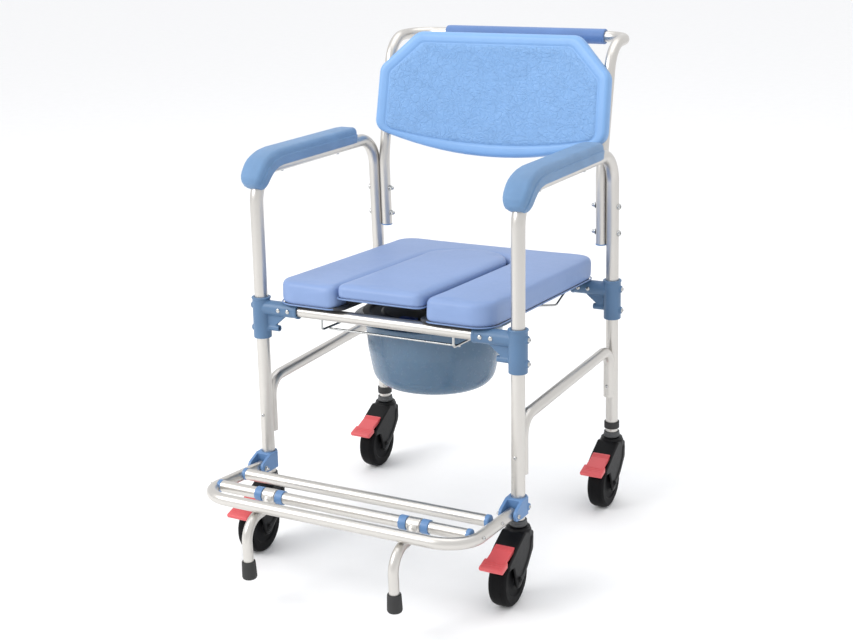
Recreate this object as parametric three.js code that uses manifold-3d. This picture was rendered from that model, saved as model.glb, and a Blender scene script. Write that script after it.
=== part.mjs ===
// Wheeled shower commode chair: aluminium tube frame, padded seat over a slide-out pan,
// moulded backrest and a folding footrest. Millimetres, +Z up, the sitter faces -Y and the
// sitter's left is +X. Dimensions along Y are measured from the front posts.
import * as THREE from 'three';
import { mergeVertices } from 'three/addons/utils/BufferGeometryUtils.js';
import Module from 'manifold-3d';

const wasm = await Module();
wasm.setup();

// ---------------------------------------------------------------- driving dimensions
const GAP = 0.3;
const SIDES = 12;
const ROUND_SIDES = 12;
const SMALL_SIDES = 8;
const POST_R = 12.7;
const POST_WALL = 1.4;
const TUBE_R = 11;
const TUBE_WALL = 1.3;

const POST_X = 270;
const REAR_Y = 453;
const LEAN = THREE.MathUtils.degToRad(2);
const LEAN_LEVEL = 432;
const POST_END = 149;
const RAIL_FRONT = 746;
const RAIL_REAR = 733;
const FRAME_BEND = 62;

const SEAT_FRONT = 484;
const SEAT_REAR = 453;
const SEAT_TILT = Math.atan2(SEAT_FRONT - SEAT_REAR, REAR_Y);
const CONNECTOR_DROP = 20;
const SLEEVE_R = 17.3;
const SLEEVE_HEIGHT = 81;
const ARM_R = 14.5;
const ARM_END = 86;
const ARM_BORE_START = 20;

const UPRIGHT_X = 246;
const UPRIGHT_END = 546;
const BACK_BEND = 690;
const BACK_LEAN = THREE.MathUtils.degToRad(12.3);
const HANDLE_Y = 613;
const HANDLE_Z = 935;
const BOLT_LEVELS = [624, 570];
const BOLT_R = 3;

const BRACE_Z = 333;
const BRACE_REACH = 17.5;
const BRACE_LOW = 228;

const PIVOT_Y = -46;
const PIVOT_Z = 169;
const REST_FRONT_Y = -234;
const REST_FRONT_Z = 188;
const REST_CORNER_X = 275;
const REAR_BAR = { y: -100, z: 178 };
const FRONT_BAR = { y: -178, z: 185 };
const REST_LEG_X = 151;
const REST_LEG_R = 9.5;
const REST_LEG_Y = -262;
const REST_LEG_RUN = REST_FRONT_Z - TUBE_R - REST_LEG_R - 1;

const WHEEL_R = 52.5;
const WHEEL_WIDTH = 35;
const WHEEL_SIDES = 16;
const TRAIL = 45;
const AXLE_R = 5;
const FORK_HALF = 23.5;
const FORK_GAP_HALF = 19.2;
const COLLAR_TOP = POST_END - GAP;
const COLLAR_BOTTOM = 137;

// ---------------------------------------------------------------- materials
const FINISH = {
  tube: { color: 0xe6e5e0, metalness: 0.85, roughness: 0.35 },
  connector: { color: 0x4f83bd, metalness: 0, roughness: 0.45 },
  bracket: { color: 0x5f93d3, metalness: 0, roughness: 0.45 },
  armrest: { color: 0x84b1e6, metalness: 0, roughness: 0.6 },
  panel: { color: 0x84b4ee, metalness: 0, roughness: 0.6 },
  seat: { color: 0xa3b9e2, metalness: 0, roughness: 0.4 },
  board: { color: 0x3c4046, metalness: 0, roughness: 0.7 },
  grip: { color: 0x5f8bd6, metalness: 0, roughness: 0.55 },
  pan: { color: 0x5d7f9c, metalness: 0, roughness: 0.35 },
  lid: { color: 0x2b2f36, metalness: 0, roughness: 0.5 },
  steel: { color: 0xc8c9c8, metalness: 1, roughness: 0.25 },
  black: { color: 0x1f1f24, metalness: 0, roughness: 0.55 },
  tyre: { color: 0x242428, metalness: 0, roughness: 0.75 },
  pedal: { color: 0xe2676c, metalness: 0, roughness: 0.45 },
  grey: { color: 0x474747, metalness: 0, roughness: 0.7 },
};

// ---------------------------------------------------------------- shape helpers
const frontPostY = (z) => (z - LEAN_LEVEL) * Math.tan(LEAN);
const v3 = (x, y, z) => new THREE.Vector3(x, y, z);
const mirrored = (points) => points.map((p) => v3(-p.x, p.y, p.z)).reverse();
// Radius of a polygonal hole that clears a round of the given radius.
const clears = (radius, sides = SIDES) => (radius + GAP) / Math.cos(Math.PI / sides);

function ring(radius, sides = SIDES, centre = [0, 0]) {
  return Array.from({ length: sides }, (_, i) => {
    const angle = (2 * Math.PI * i) / sides;
    return new THREE.Vector2(centre[0] + radius * Math.cos(angle), centre[1] + radius * Math.sin(angle));
  });
}

function outline(points, holes = []) {
  const shape = new THREE.Shape(points);
  shape.holes = holes.map((hole) => new THREE.Path(hole));
  return shape;
}

function toSolid(geometry) {
  const bare = geometry.clone();
  bare.deleteAttribute('normal');
  bare.deleteAttribute('uv');
  const welded = mergeVertices(bare, 1e-4);
  return new wasm.Manifold(new wasm.Mesh({
    numProp: 3,
    vertProperties: new Float32Array(welded.attributes.position.array),
    triVerts: new Uint32Array(welded.index.array),
  }));
}

function toGeometry(solid) {
  const mesh = solid.getMesh();
  const geometry = new THREE.BufferGeometry();
  geometry.setAttribute('position', new THREE.BufferAttribute(new Float32Array(mesh.vertProperties), 3));
  geometry.setIndex(new THREE.BufferAttribute(new Uint32Array(mesh.triVerts), 1));
  geometry.computeVertexNormals();
  return geometry;
}

function union(...geometries) {
  return toGeometry(geometries.map(toSolid).reduce((sum, solid) => sum.add(solid)));
}

function cut(geometry, ...tools) {
  return toGeometry(tools.map(toSolid).reduce((rest, tool) => rest.subtract(tool), toSolid(geometry)));
}

// A centre line of straight runs and round bends; every bend is sampled only where it turns.
class BentPath extends THREE.Curve {
  constructor(corners, radii, quarterSteps) {
    super();
    this.stations = [];
    const add = (point, tangent) => this.stations.push({ point, tangent: tangent.clone().normalize() });
    const last = corners.length - 1;
    add(corners[0], corners[1].clone().sub(corners[0]));
    for (let i = 1; i < last; i += 1) {
      const into = corners[i].clone().sub(corners[i - 1]).normalize();
      const out = corners[i + 1].clone().sub(corners[i]).normalize();
      const turn = into.angleTo(out);
      const radius = radii[i - 1];
      const side = out.clone().addScaledVector(into, -out.dot(into)).normalize();
      const start = corners[i].clone().addScaledVector(into, -radius * Math.tan(turn / 2));
      const steps = Math.ceil((quarterSteps * turn) / (Math.PI / 2));
      for (let k = 0; k <= steps; k += 1) {
        const angle = (turn * k) / steps;
        const point = start.clone()
          .addScaledVector(into, radius * Math.sin(angle))
          .addScaledVector(side, radius * (1 - Math.cos(angle)));
        const tangent = into.clone().multiplyScalar(Math.cos(angle)).addScaledVector(side, Math.sin(angle));
        add(point, tangent);
      }
    }
    add(corners[last], corners[last].clone().sub(corners[last - 1]));
  }

  station(u) {
    return this.stations[Math.round(u * (this.stations.length - 1))];
  }

  getPoint(u, target = new THREE.Vector3()) {
    return target.copy(this.station(u).point);
  }

  getPointAt(u, target) {
    return this.getPoint(u, target);
  }

  getTangent(u, target = new THREE.Vector3()) {
    return target.copy(this.station(u).tangent);
  }

  getTangentAt(u, target) {
    return this.getTangent(u, target);
  }
}

function bentTube(corners, radii, radius, options = {}) {
  const { wall = 0, sides = SIDES, boreSides = SMALL_SIDES, quarterSteps = 4 } = options;
  const path = new BentPath(corners, radii, quarterSteps);
  const section = outline(ring(radius, sides), wall ? [ring(radius - wall, boreSides)] : []);
  return new THREE.ExtrudeGeometry(section, {
    steps: path.stations.length - 1,
    extrudePath: path,
    bevelEnabled: false,
  });
}

const straightTube = (from, to, radius, options) => bentTube([from, to], [], radius, options);

// A plate with the given outline in XY, between two heights.
function plate(points, low, high, holes = []) {
  const geometry = new THREE.ExtrudeGeometry(outline(points, holes), {
    depth: high - low,
    bevelEnabled: false,
  });
  return geometry.translate(0, 0, low);
}

// A plate with its outline in YZ, between two X positions.
function sidePlate(points, low, high) {
  const geometry = plate(points, low, high);
  return geometry.applyMatrix4(new THREE.Matrix4().makeBasis(v3(0, 1, 0), v3(0, 0, 1), v3(1, 0, 0)));
}

// A turned piece about Z from [radius, height] pairs that start and end on the axis.
function turned(profile, sides = SIDES) {
  return new THREE.LatheGeometry(profile.map(([r, z]) => new THREE.Vector2(r, z)), sides).rotateX(Math.PI / 2);
}

const alongX = (geometry) => geometry.rotateY(Math.PI / 2);

// A closed skin through rings of points; the two end rings are convex and flat.
function loft(rings) {
  const count = rings[0].length;
  const positions = rings.flat().flatMap((p) => [p.x, p.y, p.z]);
  const index = [];
  for (let r = 0; r + 1 < rings.length; r += 1) {
    for (let i = 0; i < count; i += 1) {
      const a = r * count + i;
      const b = r * count + ((i + 1) % count);
      index.push(a, b, a + count, b, b + count, a + count);
    }
  }
  const end = (rings.length - 1) * count;
  for (let i = 1; i + 1 < count; i += 1) {
    index.push(0, i + 1, i);
    index.push(end, end + i, end + i + 1);
  }
  const geometry = new THREE.BufferGeometry();
  geometry.setAttribute('position', new THREE.Float32BufferAttribute(positions, 3));
  geometry.setIndex(index);
  geometry.computeVertexNormals();
  return geometry;
}

// Corner points of a polygon with each corner replaced by an arc of its own radius.
function roundedCorners(corners, steps = 4) {
  const points = [];
  corners.forEach(([x, y, radius], i) => {
    const here = new THREE.Vector2(x, y);
    const before = new THREE.Vector2(...corners.at(i - 1).slice(0, 2)).sub(here).normalize();
    const after = new THREE.Vector2(...corners[(i + 1) % corners.length].slice(0, 2)).sub(here).normalize();
    if (!radius) {
      points.push(here);
      return;
    }
    const half = Math.acos(THREE.MathUtils.clamp(before.dot(after), -1, 1)) / 2;
    const reach = radius / Math.tan(half);
    const centre = here.clone().addScaledVector(before.clone().add(after).normalize(), radius / Math.sin(half));
    const from = here.clone().addScaledVector(before, reach).sub(centre);
    const to = here.clone().addScaledVector(after, reach).sub(centre);
    const sweep = Math.atan2(from.cross(to), from.dot(to));
    for (let k = 0; k <= steps; k += 1) {
      points.push(from.clone().rotateAround(new THREE.Vector2(), (sweep * k) / steps).add(centre));
    }
  });
  return points;
}

// ---------------------------------------------------------------- assembly
const chair = new THREE.Group();
const SIDE_SIGNS = { left: 1, right: -1 };

function place(parent, name, finish, geometry, position = [0, 0, 0]) {
  const mesh = new THREE.Mesh(geometry, new THREE.MeshStandardMaterial(FINISH[finish]));
  mesh.name = name;
  mesh.position.set(...position);
  parent.add(mesh);
  return mesh;
}

// Level group on the seat plane: local Z is square to the seat, Y runs back along it,
// and the two seat rails touch its XY plane from below.
const seat = new THREE.Group();
seat.rotation.x = -SEAT_TILT;
seat.position.set(0, TUBE_R * Math.sin(SEAT_TILT), SEAT_FRONT + TUBE_R * Math.cos(SEAT_TILT));
chair.add(seat);
const REAR_RAIL_Y = REAR_Y / Math.cos(SEAT_TILT);

// ---------------------------------------------------------------- side frames and braces
// Point on a post's axis from which its castered leg is measured, so that the wheel
// stands on the floor although the front posts lean.
function legOrigin(tilt) {
  const z = WHEEL_R - TRAIL * Math.sin(tilt) - WHEEL_R * Math.cos(tilt);
  return tilt ? v3(0, frontPostY(z), z) : v3(0, REAR_Y, z);
}

function postEnd(tilt) {
  return legOrigin(tilt).add(v3(0, Math.sin(tilt), Math.cos(tilt)).multiplyScalar(POST_END));
}

function sideFrameCorners() {
  return [
    postEnd(LEAN),
    v3(0, frontPostY(RAIL_FRONT), RAIL_FRONT),
    v3(0, REAR_Y, RAIL_REAR),
    postEnd(0),
  ];
}

function boltHole(y, z, radius = BOLT_R) {
  const hole = clears(radius, SMALL_SIDES);
  return alongX(turned([[0, -400], [hole, -400], [hole, 400], [0, 400]], SMALL_SIDES))
    .translate(0, y, z);
}

function sideFrame() {
  const tube = bentTube(sideFrameCorners(), [FRAME_BEND, FRAME_BEND], POST_R, {
    wall: POST_WALL, boreSides: SIDES,
  });
  return cut(tube, ...BOLT_LEVELS.map((z) => boltHole(REAR_Y, z)));
}

// The brace lies in the side frame's plane; its turned-down ends are saddles round the posts.
function sideBrace() {
  const frontY = frontPostY(BRACE_LOW) + BRACE_REACH;
  const corners = [
    v3(0, frontY, BRACE_LOW),
    v3(0, frontPostY(BRACE_Z) + BRACE_REACH, BRACE_Z),
    v3(0, REAR_Y - BRACE_REACH, BRACE_Z),
    v3(0, REAR_Y - BRACE_REACH, BRACE_LOW + 3),
  ];
  const tube = bentTube(corners, [36, 36], TUBE_R, { wall: TUBE_WALL });
  const posts = bentTube(sideFrameCorners(), [FRAME_BEND, FRAME_BEND], clears(POST_R), { quarterSteps: 1 });
  return cut(tube, posts);
}

// ---------------------------------------------------------------- seat rails and connectors
function seatRail() {
  const reach = POST_X - ARM_BORE_START - 1;
  return straightTube(v3(-reach, 0, 0), v3(reach, 0, 0), TUBE_R, { wall: TUBE_WALL });
}

// The bore of any moulding that is slipped over a post.
function postBore() {
  const radius = clears(POST_R, ROUND_SIDES);
  return turned([[0, -60], [radius, -60], [radius, 60], [0, 60]], ROUND_SIDES);
}

// A moulded tee: sleeve on the post, bored arm for the seat rail (towards -X), gusset,
// open peg and two screw bosses.
function connector() {
  const half = SLEEVE_HEIGHT / 2;
  const rim = 3.5;
  const sleeve = turned([
    [0, -half], [SLEEVE_R, -half], [SLEEVE_R, half - rim], [SLEEVE_R + 1.2, half - rim],
    [SLEEVE_R + 1.2, half], [0, half],
  ], ROUND_SIDES);
  const arm = alongX(turned([[0, -ARM_END], [ARM_R, -ARM_END], [ARM_R, 0], [0, 0]], ROUND_SIDES))
    .translate(0, 0, CONNECTOR_DROP);
  const gusset = plate([
    new THREE.Vector2(-8, -22),
    new THREE.Vector2(-8, CONNECTOR_DROP),
    new THREE.Vector2(-52, CONNECTOR_DROP),
    new THREE.Vector2(-52, CONNECTOR_DROP - 12),
    new THREE.Vector2(-30, -15),
  ], -3.5, 3.5).rotateX(Math.PI / 2);
  const peg = alongX(turned([[0, -40], [6, -40], [6, 0], [0, 0]], SMALL_SIDES)).translate(0, 0, -19);
  const pegBore = alongX(turned([[0, -41], [3.6, -41], [3.6, -22], [0, -22]], SMALL_SIDES)).translate(0, 0, -19);
  const bosses = [-22, 22].map((z) => (
    alongX(turned([[0, 0], [7, 0], [7, 20.5], [0, 20.5]], SMALL_SIDES)).translate(0, 0, z)
  ));
  const railBore = alongX(turned([
    [0, -ARM_END - 1], [clears(TUBE_R, ROUND_SIDES), -ARM_END - 1],
    [clears(TUBE_R, ROUND_SIDES), -ARM_BORE_START], [0, -ARM_BORE_START],
  ], ROUND_SIDES)).translate(0, 0, CONNECTOR_DROP);
  return cut(union(sleeve, arm, gusset, peg, ...bosses), postBore(), railBore, pegBore);
}

const RAIL_ENDS = [
  { name: 'front', y: 0, z: SEAT_FRONT, tilt: LEAN },
  { name: 'rear', y: REAR_Y, z: SEAT_REAR, tilt: 0 },
];

for (const end of RAIL_ENDS) {
  const y = end.name === 'front' ? frontPostY(end.z) : end.y;
  place(chair, `${end.name}_seat_rail`, 'tube', seatRail(), [0, y, end.z]);
  for (const [side, sign] of Object.entries(SIDE_SIGNS)) {
    const centreZ = end.z - CONNECTOR_DROP * Math.cos(end.tilt);
    const centreY = y - CONNECTOR_DROP * Math.sin(end.tilt);
    const mesh = place(chair, `${end.name}_${side}_connector`, 'connector', connector(),
      [sign * POST_X, centreY, centreZ]);
    mesh.rotation.set(-end.tilt, 0, sign > 0 ? 0 : Math.PI, 'XYZ');
  }
}

for (const [side, sign] of Object.entries(SIDE_SIGNS)) {
  place(chair, `${side}_side_frame`, 'tube', sideFrame(), [sign * POST_X, 0, 0]);
  place(chair, `${side}_side_brace`, 'tube', sideBrace(), [sign * POST_X, 0, 0]);
}

// ---------------------------------------------------------------- armrest pads
// A moulded upper shell that follows the armrest tube and droops over its front bend.
const PAD = { half: 27, thickness: 22, skirt: 6, rear: 354 };

function padSection(across, up, halfWidth, thickness) {
  return [
    [-halfWidth, -PAD.skirt], [-halfWidth, thickness * 0.72], [-halfWidth * 0.86, thickness * 0.93],
    [0, thickness], [halfWidth * 0.86, thickness * 0.93], [halfWidth, thickness * 0.72],
    [halfWidth, -PAD.skirt],
  ].map(([side, rise]) => across.clone().addScaledVector(up, rise).add(v3(side, 0, 0)));
}

function armrestPad() {
  const corners = sideFrameCorners();
  const up = corners[1].clone().sub(corners[0]).normalize();
  const along = corners[2].clone().sub(corners[1]).normalize();
  const square = v3(0, -along.z, along.y);
  const reach = FRAME_BEND * Math.tan(up.angleTo(along) / 2);
  const bendEnd = corners[1].clone().addScaledVector(along, reach);
  const centre = bendEnd.clone().addScaledVector(square, -FRAME_BEND);
  const seatRadius = FRAME_BEND + POST_R + 0.5;
  // Angle above the level of the bend's centre, half width and thickness, from the nose back.
  const nose = [[22, 12, 9], [24, 18, 13], [29, 23, 18], [37, 26, 21], [48, 27, 22], [62, 27, 22], [76, 27, 22]];
  const noseRings = nose.map(([degrees, halfWidth, thickness]) => {
    const angle = THREE.MathUtils.degToRad(degrees);
    const outward = v3(0, -Math.cos(angle), Math.sin(angle));
    return padSection(centre.clone().addScaledVector(outward, seatRadius), outward, halfWidth, thickness);
  });
  const railLength = PAD.rear - bendEnd.y;
  const rail = [[0, 27, 22], [railLength - 28, 27, 22], [railLength - 8, 23, 21], [railLength, 15, 19]];
  const railRings = rail.map(([distance, halfWidth, thickness]) => {
    const foot = bendEnd.clone().addScaledVector(along, distance).addScaledVector(square, POST_R + 0.5);
    return padSection(foot, square, halfWidth, thickness);
  });
  const tube = bentTube(corners, [FRAME_BEND, FRAME_BEND], clears(POST_R));
  return cut(loft([...noseRings, ...railRings]), tube);
}

for (const [side, sign] of Object.entries(SIDE_SIGNS)) {
  place(chair, `${side}_armrest_pad`, 'armrest', armrestPad(), [sign * POST_X, 0, 0]);
}

// ---------------------------------------------------------------- backrest
function backFrameCorners() {
  const leanY = REAR_Y + (HANDLE_Z - BACK_BEND) * Math.tan(BACK_LEAN);
  const half = [
    v3(UPRIGHT_X, REAR_Y, UPRIGHT_END),
    v3(UPRIGHT_X, REAR_Y, BACK_BEND),
    v3(UPRIGHT_X, leanY, HANDLE_Z),
    v3(UPRIGHT_X, HANDLE_Y, HANDLE_Z),
  ];
  return [...half, ...mirrored(half)];
}

const BACK_RADII = [180, 60, 50, 50, 60, 180];

function backFrame() {
  const tube = bentTube(backFrameCorners(), BACK_RADII, TUBE_R, { wall: TUBE_WALL, quarterSteps: 3 });
  return cut(tube, ...BOLT_LEVELS.map((z) => boltHole(REAR_Y, z)));
}

// Height above and below the lower side corners, measured up the leaning panel.
const PANEL = {
  lowZ: 772, frontY: 440, thickness: 26, hollow: 30, halfWidth: 260, shoulder: 257,
  shoulderUp: 111, topHalf: 180, topUp: 188, belly: 62,
};

function panelEdges(x) {
  const across = Math.abs(x);
  const chamfer = THREE.MathUtils.clamp((across - PANEL.topHalf) / (PANEL.shoulder - PANEL.topHalf), 0, 1);
  const top = THREE.MathUtils.lerp(PANEL.topUp, PANEL.shoulderUp, chamfer);
  const bottom = -PANEL.belly + 46 * (across / 240) ** 2;
  const corner = THREE.MathUtils.clamp((across - 236) / (PANEL.halfWidth - 236), 0, 1);
  return { top, bottom: bottom + 14 * corner ** 2 };
}

function backPanel() {
  const half = [0, 45, 90, 135, 180, 206, 232, 248, 257, PANEL.halfWidth];
  const stations = [...half.slice(1).map((x) => -x).reverse(), ...half].reverse();
  const rings = stations.map((x) => {
    const { top, bottom } = panelEdges(x);
    const end = Math.abs(x) === PANEL.halfWidth;
    const back = PANEL.hollow * (1 - (x / PANEL.halfWidth) ** 2);
    const near = end ? 5 : 0;
    const far = end ? PANEL.thickness - 5 : PANEL.thickness;
    return [[near, bottom + near], [near, top - near], [far, top - near], [far, bottom + near]].map(([depth, up]) => (
      v3(x, back + depth, up)
    ));
  });
  const panel = loft(rings).rotateX(-BACK_LEAN).translate(0, PANEL.frontY, PANEL.lowZ);
  const tube = bentTube(backFrameCorners(), BACK_RADII, clears(TUBE_R), { quarterSteps: 2 });
  return cut(panel, tube);
}

place(chair, 'backrest_frame', 'tube', backFrame());
place(chair, 'backrest_panel', 'panel', backPanel());

const GRIP = { from: -168, to: 192, radius: 15.5 };
place(chair, 'push_grip', 'grip', cut(
  straightTube(v3(GRIP.from, 0, 0), v3(GRIP.to, 0, 0), GRIP.radius, { sides: ROUND_SIDES }),
  straightTube(v3(GRIP.from - 1, 0, 0), v3(GRIP.to + 1, 0, 0), clears(TUBE_R)),
), [0, HANDLE_Y, HANDLE_Z]);

// Pan-head bolt with a domed nut, through the rear post and the backrest upright.
function backBolt() {
  const head = POST_R + GAP;
  const nut = POST_X - UPRIGHT_X + TUBE_R + GAP;
  return alongX(turned([
    [0, -nut - 10], [4, -nut - 8.5], [5.6, -nut - 5], [5.6, -nut], [BOLT_R, -nut],
    [BOLT_R, head], [7, head], [7, head + 1.4], [5.5, head + 4], [0, head + 5],
  ], SMALL_SIDES));
}

for (const [side, sign] of Object.entries(SIDE_SIGNS)) {
  BOLT_LEVELS.forEach((z, i) => {
    const bolt = place(chair, `${side}_back_bolt_${i ? 'lower' : 'upper'}`, 'steel', backBolt(),
      [sign * POST_X, REAR_Y, z]);
    bolt.rotation.z = sign > 0 ? 0 : Math.PI;
  });
}

// ---------------------------------------------------------------- seat
// The board rests on the connectors' arms, which stand proud of the rails.
const SEAT = {
  half: 226, front: -22, rear: 486, corner: 42, boardLow: ARM_R - TUBE_R + 2 * GAP, boardHigh: 9.3, top: 51,
};
const OPENING = { half: 93, straight: 318 };

// A U outline: rounded block with a round-ended slot open at the front.
function horseshoe(inset, slotHalf) {
  const half = SEAT.half - inset;
  const front = SEAT.front + inset;
  const arc = 12;
  const slot = Array.from({ length: arc + 1 }, (_, i) => {
    const angle = (Math.PI * i) / arc;
    return [-slotHalf * Math.cos(angle), OPENING.straight + slotHalf * Math.sin(angle), 0];
  });
  return roundedCorners([
    [-half, front, SEAT.corner - inset], [-slotHalf, front, 14], ...slot, [slotHalf, front, 14],
    [half, front, SEAT.corner - inset], [half, SEAT.rear - inset, SEAT.corner - inset],
    [-half, SEAT.rear - inset, SEAT.corner - inset],
  ]);
}

// The inner ledge of the board that the insert rests on, all round but the front.
function ledge(inner, outer, front) {
  const arc = 10;
  const side = (half) => Array.from({ length: arc + 1 }, (_, i) => {
    const angle = (Math.PI * i) / arc;
    return new THREE.Vector2(half * Math.cos(angle), OPENING.straight + half * Math.sin(angle));
  });
  return [
    new THREE.Vector2(outer, front), ...side(outer), new THREE.Vector2(-outer, front),
    new THREE.Vector2(-inner, front), ...side(inner).reverse(), new THREE.Vector2(inner, front),
  ];
}

function insertOutline(half, front) {
  const arc = 12;
  const rear = Array.from({ length: arc + 1 }, (_, i) => {
    const angle = (Math.PI * i) / arc;
    return [half * Math.cos(angle), OPENING.straight + half * Math.sin(angle), 0];
  });
  return roundedCorners([[-half, front, 16], [half, front, 16], ...rear]);
}

const LEDGE = { inner: 80, outer: OPENING.half - 1, top: 17.7, front: 22 };
const INSERT = { half: OPENING.half - 2.5, front: SEAT.front - 3, boardHigh: 27.7, top: 57 };

place(seat, 'seat_board', 'board', union(
  plate(horseshoe(5, LEDGE.inner), SEAT.boardLow, SEAT.boardHigh),
  plate(ledge(LEDGE.inner, LEDGE.outer, LEDGE.front), SEAT.boardLow, LEDGE.top),
));
place(seat, 'seat_cushion', 'seat', plate(horseshoe(0, OPENING.half), SEAT.boardHigh + GAP, SEAT.top));
place(seat, 'insert_board', 'board',
  plate(insertOutline(INSERT.half - 3, LEDGE.front + 6), LEDGE.top + GAP, INSERT.boardHigh));
place(seat, 'insert_cushion', 'seat',
  plate(insertOutline(INSERT.half, INSERT.front), INSERT.boardHigh + GAP, INSERT.top));

// ---------------------------------------------------------------- pan, lid, bail and rack
const RACK = { x: 139, drop: 9, jogX: 172, z: -43, wire: 2.2, jogFrom: 376, jogTo: 398, crossY: 36 };
const PAN = { y: 200, rim: 157, mouth: 135, flangeZ: RACK.z + RACK.wire + GAP, depth: 150, wall: 2.6 };
const PAN_TOP = PAN.flangeZ + 10;
const PAN_SIDES = 24;

function pan() {
  const bottom = PAN_TOP - PAN.depth;
  const outer = [
    [0, bottom], [70, bottom], [96, bottom + 7], [115, bottom + 26], [126, bottom + 55],
    [131, bottom + 95], [PAN.mouth - 1, PAN.flangeZ - 8], [PAN.mouth, PAN.flangeZ], [PAN.rim, PAN.flangeZ],
    [PAN.rim, PAN.flangeZ + 3], [PAN.mouth + 2, PAN.flangeZ + 3], [PAN.mouth + 2, PAN_TOP],
  ];
  const inner = [
    [PAN.mouth - 1.5, PAN_TOP], [PAN.mouth - 3.6, PAN.flangeZ - 8], [131 - PAN.wall, bottom + 95],
    [126 - PAN.wall, bottom + 55.5], [113, bottom + 27.5], [94.6, bottom + 9.6], [69.5, bottom + 3], [0, bottom + 3],
  ];
  return turned([...outer, ...inner], PAN_SIDES);
}

function panLid() {
  const low = PAN_TOP + GAP;
  const disc = turned([
    [0, low - 5], [PAN.mouth - 12, low - 5], [PAN.mouth - 10, low], [PAN.mouth + 6, low],
    [PAN.mouth + 6, low + 2.2], [0, low + 3.2],
  ], PAN_SIDES);
  const tab = plate(roundedCorners([[-17, -124, 4], [17, -124, 4], [17, -104, 4], [-17, -104, 4]], 2),
    low + 1, low + 8);
  return union(disc, tab);
}

// A wire half-hoop that lies on the pan's flange, with its ends turned in to the ears.
function panBail() {
  const radius = PAN.rim - 7;
  const steps = 12;
  const hoop = Array.from({ length: steps + 1 }, (_, i) => {
    const angle = (Math.PI * i) / steps;
    return v3(radius * Math.cos(angle), radius * Math.sin(angle), 0);
  });
  return bentTube(hoop, hoop.slice(2).map(() => 30), 2, { sides: 6, quarterSteps: 1 });
}

function rackRunner(sign) {
  const corners = [
    v3(sign * RACK.x, RACK.drop, -2 * TUBE_R),
    v3(sign * RACK.x, RACK.drop, RACK.z),
    v3(sign * RACK.x, RACK.jogFrom, RACK.z),
    v3(sign * RACK.jogX, RACK.jogTo, RACK.z),
    v3(sign * RACK.jogX, REAR_RAIL_Y - 5, -2 * TUBE_R - 0.8),
  ];
  return bentTube(corners, [7, 10, 9], RACK.wire, { sides: 6, quarterSteps: 2 });
}

function panRack() {
  const z = RACK.z - 3.4;
  const cross = straightTube(v3(-RACK.x, RACK.crossY, z), v3(RACK.x, RACK.crossY, z), RACK.wire, { sides: 6 });
  return union(rackRunner(1), rackRunner(-1), cross);
}

place(seat, 'pan_rack', 'steel', panRack());
place(seat, 'commode_pan', 'pan', pan(), [0, PAN.y, 0]);
place(seat, 'pan_lid', 'lid', panLid(), [0, PAN.y, 0]);
place(seat, 'pan_bail', 'steel', panBail(), [0, PAN.y, PAN.flangeZ + 3 + 2 + GAP]);

// ---------------------------------------------------------------- footrest
const BRACKET_Z = 174.5;

// Clevis bracket moulded round the lower end of a front post; local origin on the post axis.
function footrestBracket() {
  const half = 17;
  const sleeve = turned([[0, -half], [SLEEVE_R, -half], [SLEEVE_R, half], [0, half]], ROUND_SIDES);
  const pivot = v3(0, PIVOT_Y - frontPostY(BRACKET_Z), PIVOT_Z - BRACKET_Z).applyAxisAngle(v3(1, 0, 0), LEAN);
  const cheeks = sidePlate(roundedCorners([
    [6, -half, 0], [6, half, 0], [-16, half, 0], [pivot.y - 12, 4, 10], [pivot.y - 10, -14, 9], [-22, -half, 3],
  ], 3), -17.5, 17.5);
  const slot = sidePlate([
    new THREE.Vector2(-20, -40), new THREE.Vector2(-20, 40),
    new THREE.Vector2(-80, 40), new THREE.Vector2(-80, -40),
  ], -TUBE_R - 0.6, TUBE_R + 0.6);
  return cut(union(sleeve, cheeks), postBore(), slot, boltHole(pivot.y, pivot.z));
}

function pivotBolt() {
  const reach = 17.5 + GAP;
  return alongX(turned([
    [0, -reach - 9], [4, -reach - 7.5], [5.6, -reach - 4.5], [5.6, -reach], [BOLT_R, -reach],
    [BOLT_R, reach], [6.5, reach], [5.5, reach + 3], [0, reach + 4],
  ], SMALL_SIDES));
}

function footrestFrame() {
  const slope = (REST_FRONT_Z - PIVOT_Z) / (PIVOT_Y - REST_FRONT_Y);
  const tail = 9;
  const half = [
    v3(POST_X, PIVOT_Y + tail, PIVOT_Z - slope * tail),
    v3(POST_X, PIVOT_Y - 12, PIVOT_Z + slope * 12),
    v3(REST_CORNER_X, REST_FRONT_Y, REST_FRONT_Z),
  ];
  const corners = [...half, ...mirrored(half)];
  const tube = bentTube(corners, [120, 62, 62, 120], TUBE_R, { wall: TUBE_WALL });
  return cut(tube, boltHole(PIVOT_Y, PIVOT_Z));
}

const restTubeX = (y) => POST_X + ((REST_CORNER_X - POST_X) * (PIVOT_Y - 12 - y)) / (PIVOT_Y - 12 - REST_FRONT_Y);

const COLLAR_OFFSET = 22;
const COLLAR_HALF = 7.5;

// A crossbar with its end plugs, and where legs hang on it, their locating collars.
function footrestBar(y, collars) {
  const reach = restTubeX(y) - TUBE_R - GAP - 3;
  const bands = collars.flatMap((x) => [
    [TUBE_R, x - COLLAR_HALF], [TUBE_R + 2, x - COLLAR_HALF],
    [TUBE_R + 2, x + COLLAR_HALF], [TUBE_R, x + COLLAR_HALF],
  ]);
  const bore = TUBE_R - TUBE_WALL;
  return alongX(turned([
    [bore, -reach], [TUBE_R, -reach], ...bands, [TUBE_R, reach], [bore, reach], [bore, -reach],
  ]));
}

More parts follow.
